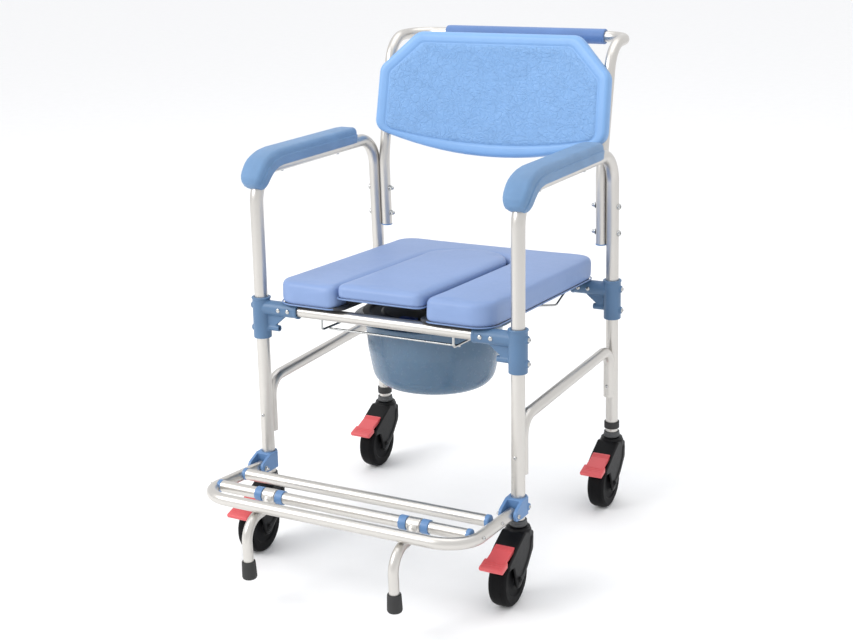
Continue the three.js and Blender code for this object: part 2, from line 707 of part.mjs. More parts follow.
function footrestLeg() {
  const corners = [
    v3(0, FRONT_BAR.y, FRONT_BAR.z),
    v3(0, FRONT_BAR.y - 30, REST_LEG_RUN),
    v3(0, REST_LEG_Y, REST_LEG_RUN),
    v3(0, REST_LEG_Y, 68),
  ];
  const leg = bentTube(corners, [14, 40], REST_LEG_R, { wall: TUBE_WALL });
  const sleeveHalf = 13;
  const sleeve = straightTube(v3(-sleeveHalf, FRONT_BAR.y, FRONT_BAR.z), v3(sleeveHalf, FRONT_BAR.y, FRONT_BAR.z),
    TUBE_R + 2.2);
  const bore = straightTube(v3(-40, FRONT_BAR.y, FRONT_BAR.z), v3(40, FRONT_BAR.y, FRONT_BAR.z), clears(TUBE_R));
  return cut(union(leg, sleeve), bore);
}

function legTip() {
  const outer = turned([[0, 57], [12.6, 57], [13.8, 60], [12.8, 88], [12, 91], [0, 91]]);
  const socket = turned([[0, 68 - GAP], [clears(REST_LEG_R), 68 - GAP], [clears(REST_LEG_R), 92], [0, 92]]);
  return cut(outer, socket);
}

place(chair, 'footrest_frame', 'tube', footrestFrame());
place(chair, 'footrest_rear_bar', 'tube', footrestBar(REAR_BAR.y, []), [0, REAR_BAR.y, REAR_BAR.z]);
place(chair, 'footrest_front_bar', 'tube', footrestBar(FRONT_BAR.y, [
  -REST_LEG_X - COLLAR_OFFSET, -REST_LEG_X + COLLAR_OFFSET, REST_LEG_X - COLLAR_OFFSET, REST_LEG_X + COLLAR_OFFSET,
]), [0, FRONT_BAR.y, FRONT_BAR.z]);

for (const [side, sign] of Object.entries(SIDE_SIGNS)) {
  const bracket = place(chair, `${side}_footrest_bracket`, 'bracket', footrestBracket(),
    [sign * POST_X, frontPostY(BRACKET_Z), BRACKET_Z]);
  bracket.rotation.x = -LEAN;
  const bolt = place(chair, `${side}_footrest_pivot_bolt`, 'steel', pivotBolt(), [sign * POST_X, PIVOT_Y, PIVOT_Z]);
  bolt.rotation.z = sign > 0 ? 0 : Math.PI;
  place(chair, `${side}_footrest_leg`, 'tube', footrestLeg(), [sign * REST_LEG_X, 0, 0]);
  place(chair, `${side}_leg_tip`, 'grey', legTip(), [sign * REST_LEG_X, REST_LEG_Y, 0]);
}

// ---------------------------------------------------------------- castered legs
const LEG_R = 10.6;
const LEG_TOP = 262;
const STEM_R = 5;

// Inner leg tube with its grey collar; the bore takes the caster's stem.
function innerLeg() {
  const tube = turned([
    [0, COLLAR_BOTTOM], [15.4, COLLAR_BOTTOM], [16.2, COLLAR_BOTTOM + 4], [15.6, COLLAR_TOP],
    [LEG_R, COLLAR_TOP], [LEG_R, LEG_TOP], [0, LEG_TOP],
  ]);
  const bore = turned([[0, COLLAR_BOTTOM - 1], [clears(STEM_R), COLLAR_BOTTOM - 1],
    [clears(STEM_R), 165], [8.8, 165], [8.8, LEG_TOP + 1], [0, LEG_TOP + 1]]);
  return cut(tube, bore);
}

// Forked hood that trails towards -Y; local origin on the swivel axis at floor level.
const PEDAL = { y: -58, z: 110, half: 18, treadHalf: 23, armEnd: -38, treadEnd: -62 };

function casterFork() {
  const crown = COLLAR_BOTTOM - GAP;
  const cheek = roundedCorners([
    [17, crown - 10, 4], [14, 84, 8], [-26, 62, 10], [-34, 42, 8], [-TRAIL - 11, 38, 8],
    [-TRAIL - 12, 60, 6], [PEDAL.y - 9, 83, 6], [PEDAL.y - 29, 84, 3], [PEDAL.y - 29, 94, 3],
    [PEDAL.y + 4, 114, 6], [-18, crown - 4, 4],
  ], 2);
  const body = sidePlate(cheek, -FORK_HALF, FORK_HALF);
  const hub = turned([[0, crown - 26], [23.5, crown - 26], [23.5, crown - 4], [21, crown], [0, crown]], ROUND_SIDES);
  const stem = turned([[0, crown - 6], [STEM_R, crown - 6], [STEM_R, 158], [0, 158]], SMALL_SIDES);
  const wheelWell = sidePlate(
    ring(WHEEL_R + 4, 16, [-TRAIL, WHEEL_R]), -FORK_GAP_HALF, FORK_GAP_HALF,
  );
  const mouth = sidePlate([
    new THREE.Vector2(-TRAIL - 60, -5), new THREE.Vector2(20, -5),
    new THREE.Vector2(-TRAIL + 54, WHEEL_R), new THREE.Vector2(-TRAIL - 60, WHEEL_R),
  ], -FORK_GAP_HALF, FORK_GAP_HALF);
  const pedalSlot = sidePlate([
    new THREE.Vector2(PEDAL.y - 60, 0), new THREE.Vector2(PEDAL.y + 0.6, 0),
    new THREE.Vector2(PEDAL.y + 0.6, 160), new THREE.Vector2(PEDAL.y - 60, 160),
  ], -PEDAL.half - 0.5, PEDAL.half + 0.5);
  const shell = cut(body, wheelWell, mouth, pedalSlot);
  return cut(union(shell, hub, stem), boltHole(-TRAIL, WHEEL_R, AXLE_R - 1));
}

function casterWheel() {
  const half = WHEEL_WIDTH / 2;
  const wheel = turned([
    [0, -half - 0.9], [12, -half - 0.9], [13, -half + 2], [33, -half + 2], [34, -half], [46, -half],
    [WHEEL_R, -half + 7], [WHEEL_R, half - 7], [46, half], [34, half],
    [33, half - 2], [13, half - 2], [12, half + 0.9], [0, half + 0.9],
  ], WHEEL_SIDES);
  const hole = clears(AXLE_R - 1, SMALL_SIDES);
  const bore = turned([[0, -40], [hole, -40], [hole, 40], [0, 40]], SMALL_SIDES);
  return alongX(cut(wheel, bore));
}

function casterAxle() {
  const reach = FORK_HALF + GAP;
  return alongX(turned([
    [0, -reach - 3], [5.5, -reach - 3], [5.5, -reach], [AXLE_R - 1, -reach], [AXLE_R - 1, reach],
    [5.5, reach], [5.5, reach + 3], [0, reach + 3],
  ], SMALL_SIDES));
}

// Foot brake between the hood's cheeks: a plate on the pivot that ends in a broad tread.
function brakePedal() {
  const arm = sidePlate([
    new THREE.Vector2(0, 7), new THREE.Vector2(PEDAL.armEnd, -6),
    new THREE.Vector2(PEDAL.armEnd, -12), new THREE.Vector2(0, -2),
  ], -PEDAL.half, PEDAL.half);
  const tread = sidePlate(roundedCorners([
    [PEDAL.armEnd + 2, -5, 0], [PEDAL.armEnd + 2, -16, 3], [PEDAL.treadEnd + 2, -22, 4],
    [PEDAL.treadEnd, -13, 4], [PEDAL.armEnd - 12, -8, 4],
  ], 2), -PEDAL.treadHalf, PEDAL.treadHalf);
  return union(arm, tread);
}

// Plastic band that covers the height lock near the lower end of a rear post.
const CLIP = { low: 156, high: 170, thickness: 2.6 };

function heightClip() {
  const inner = clears(POST_R);
  return turned([
    [inner, CLIP.low], [inner + CLIP.thickness, CLIP.low], [inner + CLIP.thickness, CLIP.high],
    [inner, CLIP.high], [inner, CLIP.low],
  ]);
}

for (const [side, sign] of Object.entries(SIDE_SIGNS)) {
  place(chair, `rear_${side}_height_clip`, 'grey', heightClip(), [sign * POST_X, REAR_Y, 0]);
}

for (const end of RAIL_ENDS) {
  for (const [side, sign] of Object.entries(SIDE_SIGNS)) {
    const leg = new THREE.Group();
    leg.rotation.x = -end.tilt;
    leg.position.copy(legOrigin(end.tilt)).setX(sign * POST_X);
    chair.add(leg);
    const prefix = `${end.name}_${side}`;
    place(leg, `${prefix}_inner_leg`, 'tube', innerLeg());
    place(leg, `${prefix}_caster_fork`, 'black', casterFork());
    place(leg, `${prefix}_caster_wheel`, 'tyre', casterWheel(), [0, -TRAIL, WHEEL_R]);
    place(leg, `${prefix}_caster_axle`, 'steel', casterAxle(), [0, -TRAIL, WHEEL_R]);
    place(leg, `${prefix}_brake_pedal`, 'pedal', brakePedal(), [0, PEDAL.y, PEDAL.z]);
  }
}

// The origin lies on the floor under the middle of the chair's overall length.
const bounds = new THREE.Box3().setFromObject(chair);
chair.position.y = -(bounds.min.y + bounds.max.y) / 2;
const part = new THREE.Group();
part.add(chair);

export default part;
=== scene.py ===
"""Looks of a wheeled shower commode chair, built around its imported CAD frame.

Shapes are written in millimetres, in the chair's own frame: +Z up, the sitter faces -Y and
the sitter's left is +X, with Y measured from the front posts. CHAIR moves that frame to where
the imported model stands, and every mesh is stored in metres.
"""
import math

import bmesh
import bpy
from mathutils import Matrix, Vector

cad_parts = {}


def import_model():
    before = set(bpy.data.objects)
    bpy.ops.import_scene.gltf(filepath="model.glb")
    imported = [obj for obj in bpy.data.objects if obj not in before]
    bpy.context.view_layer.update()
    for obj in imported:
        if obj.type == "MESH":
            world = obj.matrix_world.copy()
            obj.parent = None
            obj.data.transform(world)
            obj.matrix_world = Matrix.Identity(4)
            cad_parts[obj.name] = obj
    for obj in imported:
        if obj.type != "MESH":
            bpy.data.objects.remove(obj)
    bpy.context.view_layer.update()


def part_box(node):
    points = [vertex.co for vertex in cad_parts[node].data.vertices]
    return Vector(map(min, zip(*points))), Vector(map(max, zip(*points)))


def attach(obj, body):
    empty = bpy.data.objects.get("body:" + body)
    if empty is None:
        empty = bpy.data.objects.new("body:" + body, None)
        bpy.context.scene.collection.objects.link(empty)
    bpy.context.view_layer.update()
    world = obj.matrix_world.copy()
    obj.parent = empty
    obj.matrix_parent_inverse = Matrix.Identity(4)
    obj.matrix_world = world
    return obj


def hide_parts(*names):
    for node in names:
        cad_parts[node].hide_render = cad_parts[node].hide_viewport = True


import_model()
MM = 0.001
SIDES = {"left": 1, "right": -1}

# ------------ driving dimensions
POST_R = 12.7
POST_WALL = 1.4
TUBE_R = 11
TUBE_WALL = 1.3
POST_X = 270
REAR_Y = 453
LEAN = math.radians(2)
LEAN_LEVEL = 432
POST_END = 149
RAIL_FRONT = 746
RAIL_REAR = 733
FRAME_BEND = 62
SEAT_FRONT = 484
SEAT_REAR = 453
SEAT_TILT = math.atan2(SEAT_FRONT - SEAT_REAR, REAR_Y)
CONNECTOR_DROP = 20
SLEEVE_R = 17.3
SLEEVE_HEIGHT = 81
ARM_R = 14.5
ARM_END = 86
UPRIGHT_X = 246
UPRIGHT_END = 546
BACK_BEND = 690
BACK_LEAN = math.radians(12.3)
HANDLE_Y = 613
HANDLE_Z = 935
BACK_RADII = (180, 60, 50, 50, 60, 180)
BOLT_LEVELS = (624, 570)
BRACE_Z = 333
BRACE_REACH = 17.5
BRACE_LOW = 228
PIVOT_Y = -46
PIVOT_Z = 169
REST_FRONT_Y = -234
REST_FRONT_Z = 188
REST_CORNER_X = 275
REAR_BAR = (-100, 178)
FRONT_BAR = (-178, 185)
REST_LEG_X = 151
REST_LEG_R = 9.5
REST_LEG_Y = -262
WHEEL_R = 52.5
TRAIL = 45
FORK_HALF = 23.5
FORK_GAP_HALF = 19.2
COLLAR_BOTTOM = 137

low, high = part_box("rear_left_height_clip")
CHAIR = Matrix.Translation((0, (low.y + high.y) / 2 - REAR_Y * MM, 0))


def front_post_y(z):
    return (z - LEAN_LEVEL) * math.tan(LEAN)


def at(x, y, z):
    return Matrix.Translation((x * MM, y * MM, z * MM))


def turn(degrees, axis):
    return Matrix.Rotation(math.radians(degrees), 4, axis)


def facing(direction):
    """Turns +Z to the given direction."""
    return Vector((0, 0, 1)).rotation_difference(Vector(direction)).to_matrix().to_4x4()


def leg_frame(end, sign):
    """A castered leg's frame: origin on the post's axis at floor level, Z along the post."""
    if end == "rear":
        return at(sign * POST_X, REAR_Y, 0)
    z = WHEEL_R - TRAIL * math.sin(LEAN) - WHEEL_R * math.cos(LEAN)
    return at(sign * POST_X, front_post_y(z), z) @ Matrix.Rotation(-LEAN, 4, "X")


SEAT_PLANE = (
    at(0, TUBE_R * math.sin(SEAT_TILT), SEAT_FRONT + TUBE_R * math.cos(SEAT_TILT))
    @ Matrix.Rotation(-SEAT_TILT, 4, "X")
)


# ------------ outlines and centre lines
def rounded(corners, steps=8):
    """Outline through (x, y, radius) corners, each replaced by an arc of its radius."""
    points = []
    for i, (x, y, radius) in enumerate(corners):
        here = Vector((x, y))
        before = (Vector(corners[i - 1][:2]) - here).normalized()
        after = (Vector(corners[(i + 1) % len(corners)][:2]) - here).normalized()
        half = math.acos(max(-1, min(1, before.dot(after)))) / 2
        if not radius or math.pi / 2 - half < 0.02:
            points.append(here)
            continue
        reach = radius / math.tan(half)
        centre = here + (before + after).normalized() * (radius / math.sin(half))
        start = here + before * reach - centre
        end = here + after * reach - centre
        sweep = math.atan2(start.x * end.y - start.y * end.x, start.dot(end))
        for k in range(steps + 1):
            points.append(centre + Matrix.Rotation(sweep * k / steps, 2) @ start)
    return points


def bent_path(corners, radii, step=math.radians(5)):
    """(point, tangent) stations along straight runs joined by round bends."""
    corners = [Vector(c) for c in corners]
    stations = [(corners[0], (corners[1] - corners[0]).normalized())]
    for i in range(1, len(corners) - 1):
        into = (corners[i] - corners[i - 1]).normalized()
        out = (corners[i + 1] - corners[i]).normalized()
        bend = into.angle(out)
        radius = radii[i - 1]
        side = (out - into * out.dot(into)).normalized()
        start = corners[i] - into * radius * math.tan(bend / 2)
        steps = max(2, math.ceil(bend / step))
        for k in range(steps + 1):
            angle = bend * k / steps
            point = start + into * radius * math.sin(angle) + side * radius * (1 - math.cos(angle))
            stations.append((point, into * math.cos(angle) + side * math.sin(angle)))
    stations.append((corners[-1], (corners[-1] - corners[-2]).normalized()))
    return stations


def mirrored(points):
    return [(-x, y, z) for x, y, z in reversed(points)]


# ------------ mesh builders
def to_mesh(bm, sharp=35):
    """Mesh in metres from a bmesh in millimetres, smooth but for edges over the sharp angle."""
    bmesh.ops.recalc_face_normals(bm, faces=bm.faces)
    bm.transform(Matrix.Scale(MM, 4))
    mesh = bpy.data.meshes.new("shape")
    bm.to_mesh(mesh)
    bm.free()
    return shaded(mesh, sharp)


def shaded(mesh, sharp=35):
    mesh.polygons.foreach_set("use_smooth", [True] * len(mesh.polygons))
    mesh.set_sharp_from_angle(angle=math.radians(sharp))
    return mesh


def skin(rings, closed=False, caps=True):
    """A bmesh through rings of points, capped with faces unless the rings close on themselves."""
    bm = bmesh.new()
    rows = [[bm.verts.new(p) for p in ring] for ring in rings]
    pairs = list(zip(rows, rows[1:]))
    if closed:
        pairs.append((rows[-1], rows[0]))
    for a, b in pairs:
        for i in range(len(a)):
            j = (i + 1) % len(a)
            bm.faces.new((a[i], a[j], b[j], b[i]))
    if caps and not closed:
        bm.faces.new(rows[0])
        bm.faces.new(rows[-1])
    return bm


def sweep_rings(stations, radius, sides):
    tangent = stations[0][1]
    normal = tangent.orthogonal().normalized()
    rings = []
    for point, heading in stations:
        normal = tangent.rotation_difference(heading) @ normal
        tangent = heading
        across = tangent.cross(normal)
        rings.append([
            point + radius * (normal * math.cos(a) + across * math.sin(a))
            for a in (2 * math.pi * k / sides for k in range(sides))
        ])
    return rings


def tube(corners, radii, radius, wall=0, sides=32, step=math.radians(5)):
    """A bent round tube, hollow where it has a wall."""
    stations = bent_path(corners, radii, step)
    outer = sweep_rings(stations, radius, sides)
    if not wall:
        return skin(outer)
    inner = sweep_rings(stations, radius - wall, sides)
    return skin(outer + list(reversed(inner)), closed=True)


def lathe(profile, sides=48):
    """A turned bmesh about Z from (radius, height) pairs; a profile off the axis is a ring."""
    on_axis = profile[0][0] == 0
    points = profile[1:-1] if on_axis else profile
    angles = [2 * math.pi * k / sides for k in range(sides)]
    rings = [[Vector((r * math.cos(a), r * math.sin(a), z)) for a in angles] for r, z in points]
    bm = skin(rings, closed=not on_axis, caps=False)
    if on_axis:
        bm.verts.ensure_lookup_table()
        for (r, z), first in ((profile[0], 0), (profile[-1], (len(points) - 1) * sides)):
            apex = bm.verts.new((0, 0, z))
            bm.verts.ensure_lookup_table()
            for k in range(sides):
                bm.faces.new((apex, bm.verts[first + k], bm.verts[first + (k + 1) % sides]))
    return bm


def soft_lathe(corners, sides=48, steps=4):
    """A turned bmesh whose profile corners (radius, height, fillet) are rounded."""
    return lathe([tuple(p) for p in rounded(corners, steps)], sides)


def prism(outline, low_z, high_z, bevel=0, segments=3):
    bm = bmesh.new()
    base = bm.faces.new([bm.verts.new((p[0], p[1], low_z)) for p in outline])
    top = bmesh.ops.extrude_face_region(bm, geom=[base])
    moved = [v for v in top["geom"] if isinstance(v, bmesh.types.BMVert)]
    bmesh.ops.translate(bm, verts=moved, vec=(0, 0, high_z - low_z))
    if bevel:
        bm.normal_update()
        rims = [e for e in bm.edges if abs(e.verts[0].co.z - e.verts[1].co.z) < 1e-6]
        bmesh.ops.bevel(bm, geom=rims, offset=bevel, segments=segments, profile=0.5, affect="EDGES")
    return bm


YZ_PLANE = Matrix(((0, 0, 1, 0), (1, 0, 0, 0), (0, 1, 0, 0), (0, 0, 0, 1)))


def side_prism(outline, low_x, high_x, bevel=0, segments=3):
    """A prism whose outline lies in YZ, between two X positions."""
    bm = prism(outline, low_x, high_x, bevel, segments)
    bm.transform(YZ_PLANE)
    return bm


def scene_object(name, data):
    obj = bpy.data.objects.new(name, data)
    bpy.context.scene.collection.objects.link(obj)
    return obj


def moved(bm, matrix):
    """The bmesh moved by a matrix whose translation is in metres."""
    scale = Matrix.Scale(MM, 4)
    bm.transform(scale.inverted() @ matrix @ scale)
    return bm


def joined(*parts):
    bm = bmesh.new()
    for part in parts:
        piece_mesh = bpy.data.meshes.new("part")
        part.to_mesh(piece_mesh)
        part.free()
        bm.from_mesh(piece_mesh)
        bpy.data.meshes.remove(piece_mesh)
    return bm


def evaluated(mesh, *modifiers):
    """The mesh after a stack of modifiers, each given as (type, settings)."""
    holder = scene_object("work", mesh)
    for kind, settings in modifiers:
        modifier = holder.modifiers.new(kind, kind)
        for key, value in settings.items():
            setattr(modifier, key, value)
    graph = bpy.context.evaluated_depsgraph_get()
    result = bpy.data.meshes.new_from_object(holder.evaluated_get(graph))
    bpy.data.objects.remove(holder)
    return result


def carved(mesh, *cutters):
    """The mesh less every cutter bmesh."""
    tools = []
    steps = []
    for cutter in cutters:
        tool = scene_object("tool", to_mesh(cutter))
        settings = {"object": tool, "operation": "DIFFERENCE", "solver": "EXACT", "use_self": True}
        tools.append(tool)
        steps.append(("BOOLEAN", settings))
    result = evaluated(mesh, *steps)
    for tool in tools:
        bpy.data.objects.remove(tool)
    return result


def remesh(voxel):
    """Modifier step that rebuilds a mesh in voxels of the given size."""
    return ("REMESH", {"mode": "VOXEL", "voxel_size": voxel * MM})


def smooth(passes):
    return ("SMOOTH", {"factor": 0.5, "iterations": passes})


def moulded(adds, cuts, voxel=0.9, passes=4):
    """Overlapping solids fused into one moulding with softened edges, less the cuts."""
    mesh = to_mesh(joined(*adds))
    fused = evaluated(mesh, remesh(voxel))
    hollow = carved(fused, *cuts) if cuts else fused
    return shaded(evaluated(hollow, remesh(voxel), smooth(passes)), 180)


# ------------ materials
def material(name, colour, roughness, metallic=0.0, coat=0.0, sheen=0.0, tint=0.06, tint_scale=18,
             rough_spread=0.06, bumps=(), subsurface=0.0, specular=0.5):
    """A procedural finish: slow colour and gloss variation, and layered bumps.

    Each bump is (kind, scale per metre, depth in millimetres).
    """
    mat = bpy.data.materials.new(name)
    mat.use_nodes = True
    nodes = mat.node_tree.nodes
    links = mat.node_tree.links
    shader = nodes["Principled BSDF"]
    settings = {"Metallic": metallic, "Specular IOR Level": specular, "Coat Weight": coat,
                "Coat Roughness": 0.2, "Sheen Weight": sheen}
    if subsurface:
        settings.update({"Subsurface Weight": subsurface, "Subsurface Scale": 0.004})
    for socket, value in settings.items():
        shader.inputs[socket].default_value = value
    coords = nodes.new("ShaderNodeTexCoord")

    def noise(scale, detail=3.0, distortion=0.0):
        texture = nodes.new("ShaderNodeTexNoise")
        texture.inputs["Scale"].default_value = scale
        texture.inputs["Detail"].default_value = detail
        texture.inputs["Distortion"].default_value = distortion
        links.new(coords.outputs["Object"], texture.inputs["Vector"])
        return texture.outputs["Fac"]

    ramp = nodes.new("ShaderNodeValToRGB")
    ramp.color_ramp.elements[0].position = 0.3
    ramp.color_ramp.elements[1].position = 0.7
    ramp.color_ramp.elements[0].color = (*[c * (1 - tint) for c in colour], 1)
    ramp.color_ramp.elements[1].color = (*[min(1, c * (1 + tint)) for c in colour], 1)
    links.new(noise(tint_scale), ramp.inputs["Fac"])
    links.new(ramp.outputs["Color"], shader.inputs["Base Color"])

    gloss = nodes.new("ShaderNodeMapRange")
    gloss.inputs["To Min"].default_value = max(0.02, roughness - rough_spread)
    gloss.inputs["To Max"].default_value = roughness + rough_spread
    links.new(noise(tint_scale * 7, 4.0), gloss.inputs["Value"])
    links.new(gloss.outputs["Result"], shader.inputs["Roughness"])

    below = None
    for kind, scale, depth in bumps:
        if kind == "creases":
            warp = nodes.new("ShaderNodeMixRGB")
            warp.blend_type = "ADD"
            warp.inputs["Fac"].default_value = 0.035
            swirl = nodes.new("ShaderNodeTexNoise")
            swirl.inputs["Scale"].default_value = scale * 0.45
            swirl.inputs["Detail"].default_value = 4
            links.new(coords.outputs["Object"], swirl.inputs["Vector"])
            links.new(coords.outputs["Object"], warp.inputs["Color1"])
            links.new(swirl.outputs["Color"], warp.inputs["Color2"])
            cells = nodes.new("ShaderNodeTexVoronoi")
            cells.feature = "DISTANCE_TO_EDGE"
            cells.inputs["Scale"].default_value = scale
            links.new(warp.outputs["Color"], cells.inputs["Vector"])
            edge = nodes.new("ShaderNodeMapRange")
            edge.interpolation_type = "SMOOTHSTEP"
            edge.inputs["From Max"].default_value = 0.18
            links.new(cells.outputs["Distance"], edge.inputs["Value"])
            height = edge.outputs["Result"]
        else:
            height = noise(scale, 2.0, 0.3)
        bump = nodes.new("ShaderNodeBump")
        bump.inputs["Distance"].default_value = depth * MM
        bump.inputs["Strength"].default_value = 1.0
        links.new(height, bump.inputs["Height"])
        if below:
            links.new(below, bump.inputs["Normal"])
        below = bump.outputs["Normal"]
    if below:
        links.new(below, shader.inputs["Normal"])
    return mat


def srgb(r, g, b):
    """Linear colour from 0-255 sRGB values."""
    return tuple(
        c / 12.92 if c <= 0.04045 else ((c + 0.055) / 1.055) ** 2.4
        for c in (r / 255, g / 255, b / 255)
    )


BLAST = ("grain", 2600, 0.02)
SPARK = ("grain", 1500, 0.05)
MATERIALS = {
    "tube": material("anodised_tube", srgb(204, 201, 196), 0.34, metallic=0.95, tint=0.02, tint_scale=6,
                     bumps=(BLAST,)),
    "connector": material("connector_nylon", srgb(80, 112, 146), 0.42, bumps=(SPARK,)),
    "bracket": material("bracket_nylon", srgb(92, 130, 176), 0.42, bumps=(SPARK,)),
    "armrest": material("armrest_skin", srgb(103, 141, 182), 0.5, sheen=0.1, tint_scale=30,
                        bumps=(("creases", 330, 0.22), ("grain", 1100, 0.08))),
    "panel": material("panel_border_skin", srgb(119, 161, 209), 0.42, tint=0.03,
                      bumps=(("grain", 1300, 0.03),)),
    "inset": material("panel_creased_skin", srgb(119, 161, 209), 0.42, tint=0.04, tint_scale=40,
                      bumps=(("grain", 40, 0.5), ("creases", 88, 0.6), ("creases", 190, 0.25),
                             ("grain", 900, 0.03))),
    "seat": material("seat_vinyl", srgb(125, 148, 190), 0.46, coat=0.03, specular=0.35, tint=0.02,
                     bumps=(("grain", 900, 0.015), ("grain", 14, 0.25))),
    "welt": material("seat_welt_vinyl", srgb(104, 130, 174), 0.34, coat=0.1, bumps=(("grain", 900, 0.02),)),
    "board": material("sealed_board", srgb(44, 47, 54), 0.65, tint=0.15, bumps=(("grain", 260, 0.12),)),
    "grip": material("grip_foam", srgb(84, 118, 170), 0.55, sheen=0.2, bumps=(("grain", 1100, 0.08),)),
    "pan": material("pan_polypropylene", srgb(82, 109, 134), 0.26, tint=0.04, subsurface=0.12,
                    bumps=(("grain", 700, 0.015), ("grain", 25, 0.15))),
    "lid": material("lid_plastic", srgb(44, 50, 60), 0.35, bumps=(SPARK,)),
    "clip": material("lid_clip_plastic", srgb(50, 82, 165), 0.4, bumps=(SPARK,)),
    "steel": material("bright_steel", srgb(190, 191, 190), 0.2, metallic=1.0, tint=0.03,
                      bumps=(("grain", 500, 0.01),)),
    "black": material("fork_nylon", srgb(9, 9, 11), 0.42, tint=0.1, specular=0.2, bumps=(SPARK,)),
    "tyre": material("tyre_polyurethane", srgb(7, 7, 9), 0.55, tint=0.15, specular=0.12,
                     bumps=(("grain", 800, 0.05),)),
    "pedal": material("pedal_nylon", srgb(212, 86, 90), 0.38, tint=0.03, bumps=(SPARK,)),
    "collar": material("collar_nylon", srgb(84, 85, 86), 0.6, tint=0.08, specular=0.3, bumps=(SPARK,)),
    "grey": material("tip_rubber", srgb(56, 56, 56), 0.7, tint=0.1, specular=0.3,
                     bumps=(("grain", 900, 0.06),)),
}


def piece(name, mesh, finish, body, place=None, replaces=()):
    """Adds one visible piece that rides on a body."""
    obj = scene_object(name, mesh)
    obj.matrix_world = CHAIR @ (place or Matrix())
    if not mesh.materials:
        mesh.materials.append(MATERIALS[finish])
    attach(obj, body)
    if replaces:
        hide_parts(*replaces)
    return obj


# ------------ fasteners
def screw_mesh(radius, height):
    """Pan-head screw that stands on its local XY plane, with a cross recess."""
    head = to_mesh(lathe([(0, -0.6), (radius, -0.6), (radius, height * 0.25), (radius * 0.93, height * 0.6),
                          (radius * 0.7, height * 0.88), (radius * 0.35, height), (0, height)], 32))
    arm = radius * 0.55
    width = radius * 0.13
    box = [(-arm, -width), (arm, -width), (arm, width), (-arm, width)]
    slots = [moved(prism(box, height * 0.45, height + 1), turn(angle, "Z")) for angle in (0, 90)]
    return shaded(carved(head, *slots), 30)


def cap_nut_mesh():
    """Washer, hexagonal nut and domed cap on the local XY plane."""
    washer = lathe([(0, 0), (6.2, 0), (6.2, 1), (0, 1)], 32)
    hexagon = [(4.9 * math.cos(math.pi * k / 3), 4.9 * math.sin(math.pi * k / 3)) for k in range(6)]
    nut = prism(hexagon, 1, 5, bevel=0.4)
    dome = lathe([(0, 4.6), (4, 4.6), (3.8, 6.4), (2.9, 8.2), (1.5, 9.2), (0, 9.5)], 32)
    return to_mesh(joined(washer, nut, dome), 30)


RIVET = to_mesh(lathe([(0, -1), (4.4, -1), (4.4, 0.4), (3.9, 1.5), (2.6, 2.4), (0, 2.8)], 32), 30)
SCREW = screw_mesh(4.6, 3.2)
SMALL_SCREW = screw_mesh(3.4, 2.4)
CAP_NUT = cap_nut_mesh()
for shared in (RIVET, SCREW, SMALL_SCREW, CAP_NUT):
    shared.materials.append(MATERIALS["steel"])


# ------------ side frames, braces and rails
def post_foot(end):
    """Lower end of a post, in millimetres, in its own side's plane."""
    foot = leg_frame(end, 1) @ Vector((0, 0, POST_END * MM)) / MM
    return (0, foot.y, foot.z)


FRAME_CORNERS = [
    post_foot("front"),
    (0, front_post_y(RAIL_FRONT), RAIL_FRONT),
    (0, REAR_Y, RAIL_REAR),
    post_foot("rear"),
]
FRAME_MESH = to_mesh(tube(FRAME_CORNERS, [FRAME_BEND] * 2, POST_R, POST_WALL, 40))


def brace_mesh():
    """Brace in the side frame's plane whose turned-down ends saddle the posts."""
    corners = [
        (0, front_post_y(BRACE_LOW) + BRACE_REACH, BRACE_LOW),
        (0, front_post_y(BRACE_Z) + BRACE_REACH, BRACE_Z),
        (0, REAR_Y - BRACE_REACH, BRACE_Z),
        (0, REAR_Y - BRACE_REACH, BRACE_LOW + 3),
    ]
    bar = to_mesh(tube(corners, [36, 36], TUBE_R, TUBE_WALL, 32))
    posts = tube(FRAME_CORNERS, [FRAME_BEND] * 2, POST_R + 0.15, 0, 40)
    return shaded(carved(bar, posts))


BRACE_MESH = brace_mesh()
RAIL_MESH = to_mesh(tube([(-249, 0, 0), (249, 0, 0)], [], TUBE_R, TUBE_WALL, 40))
piece("front_seat_rail_tube", RAIL_MESH, "tube", "frame", at(0, front_post_y(SEAT_FRONT), SEAT_FRONT),
      ["front_seat_rail"])
piece("rear_seat_rail_tube", RAIL_MESH, "tube", "frame", at(0, REAR_Y, SEAT_REAR), ["rear_seat_rail"])

for side, sign in SIDES.items():
    place = at(sign * POST_X, 0, 0)
    piece(f"{side}_side_frame_tube", FRAME_MESH, "tube", "frame", place, [f"{side}_side_frame"])
    piece(f"{side}_brace_tube", BRACE_MESH, "tube", "frame", place, [f"{side}_side_brace"])
    front = (sign * POST_X, front_post_y(268) - POST_R, 268)
    rear = (sign * POST_X, REAR_Y - BRACE_REACH - TUBE_R, 255)
    for label, spot in (("front", front), ("rear", rear)):
        piece(f"{side}_brace_screw_{label}", SMALL_SCREW, "steel", "frame", at(*spot) @ facing((0, -1, 0)))


# ------------ tee connectors
def across(bm):
    """Turns a bmesh built along Z to lie along X."""
    return moved(bm, turn(90, "Y"))


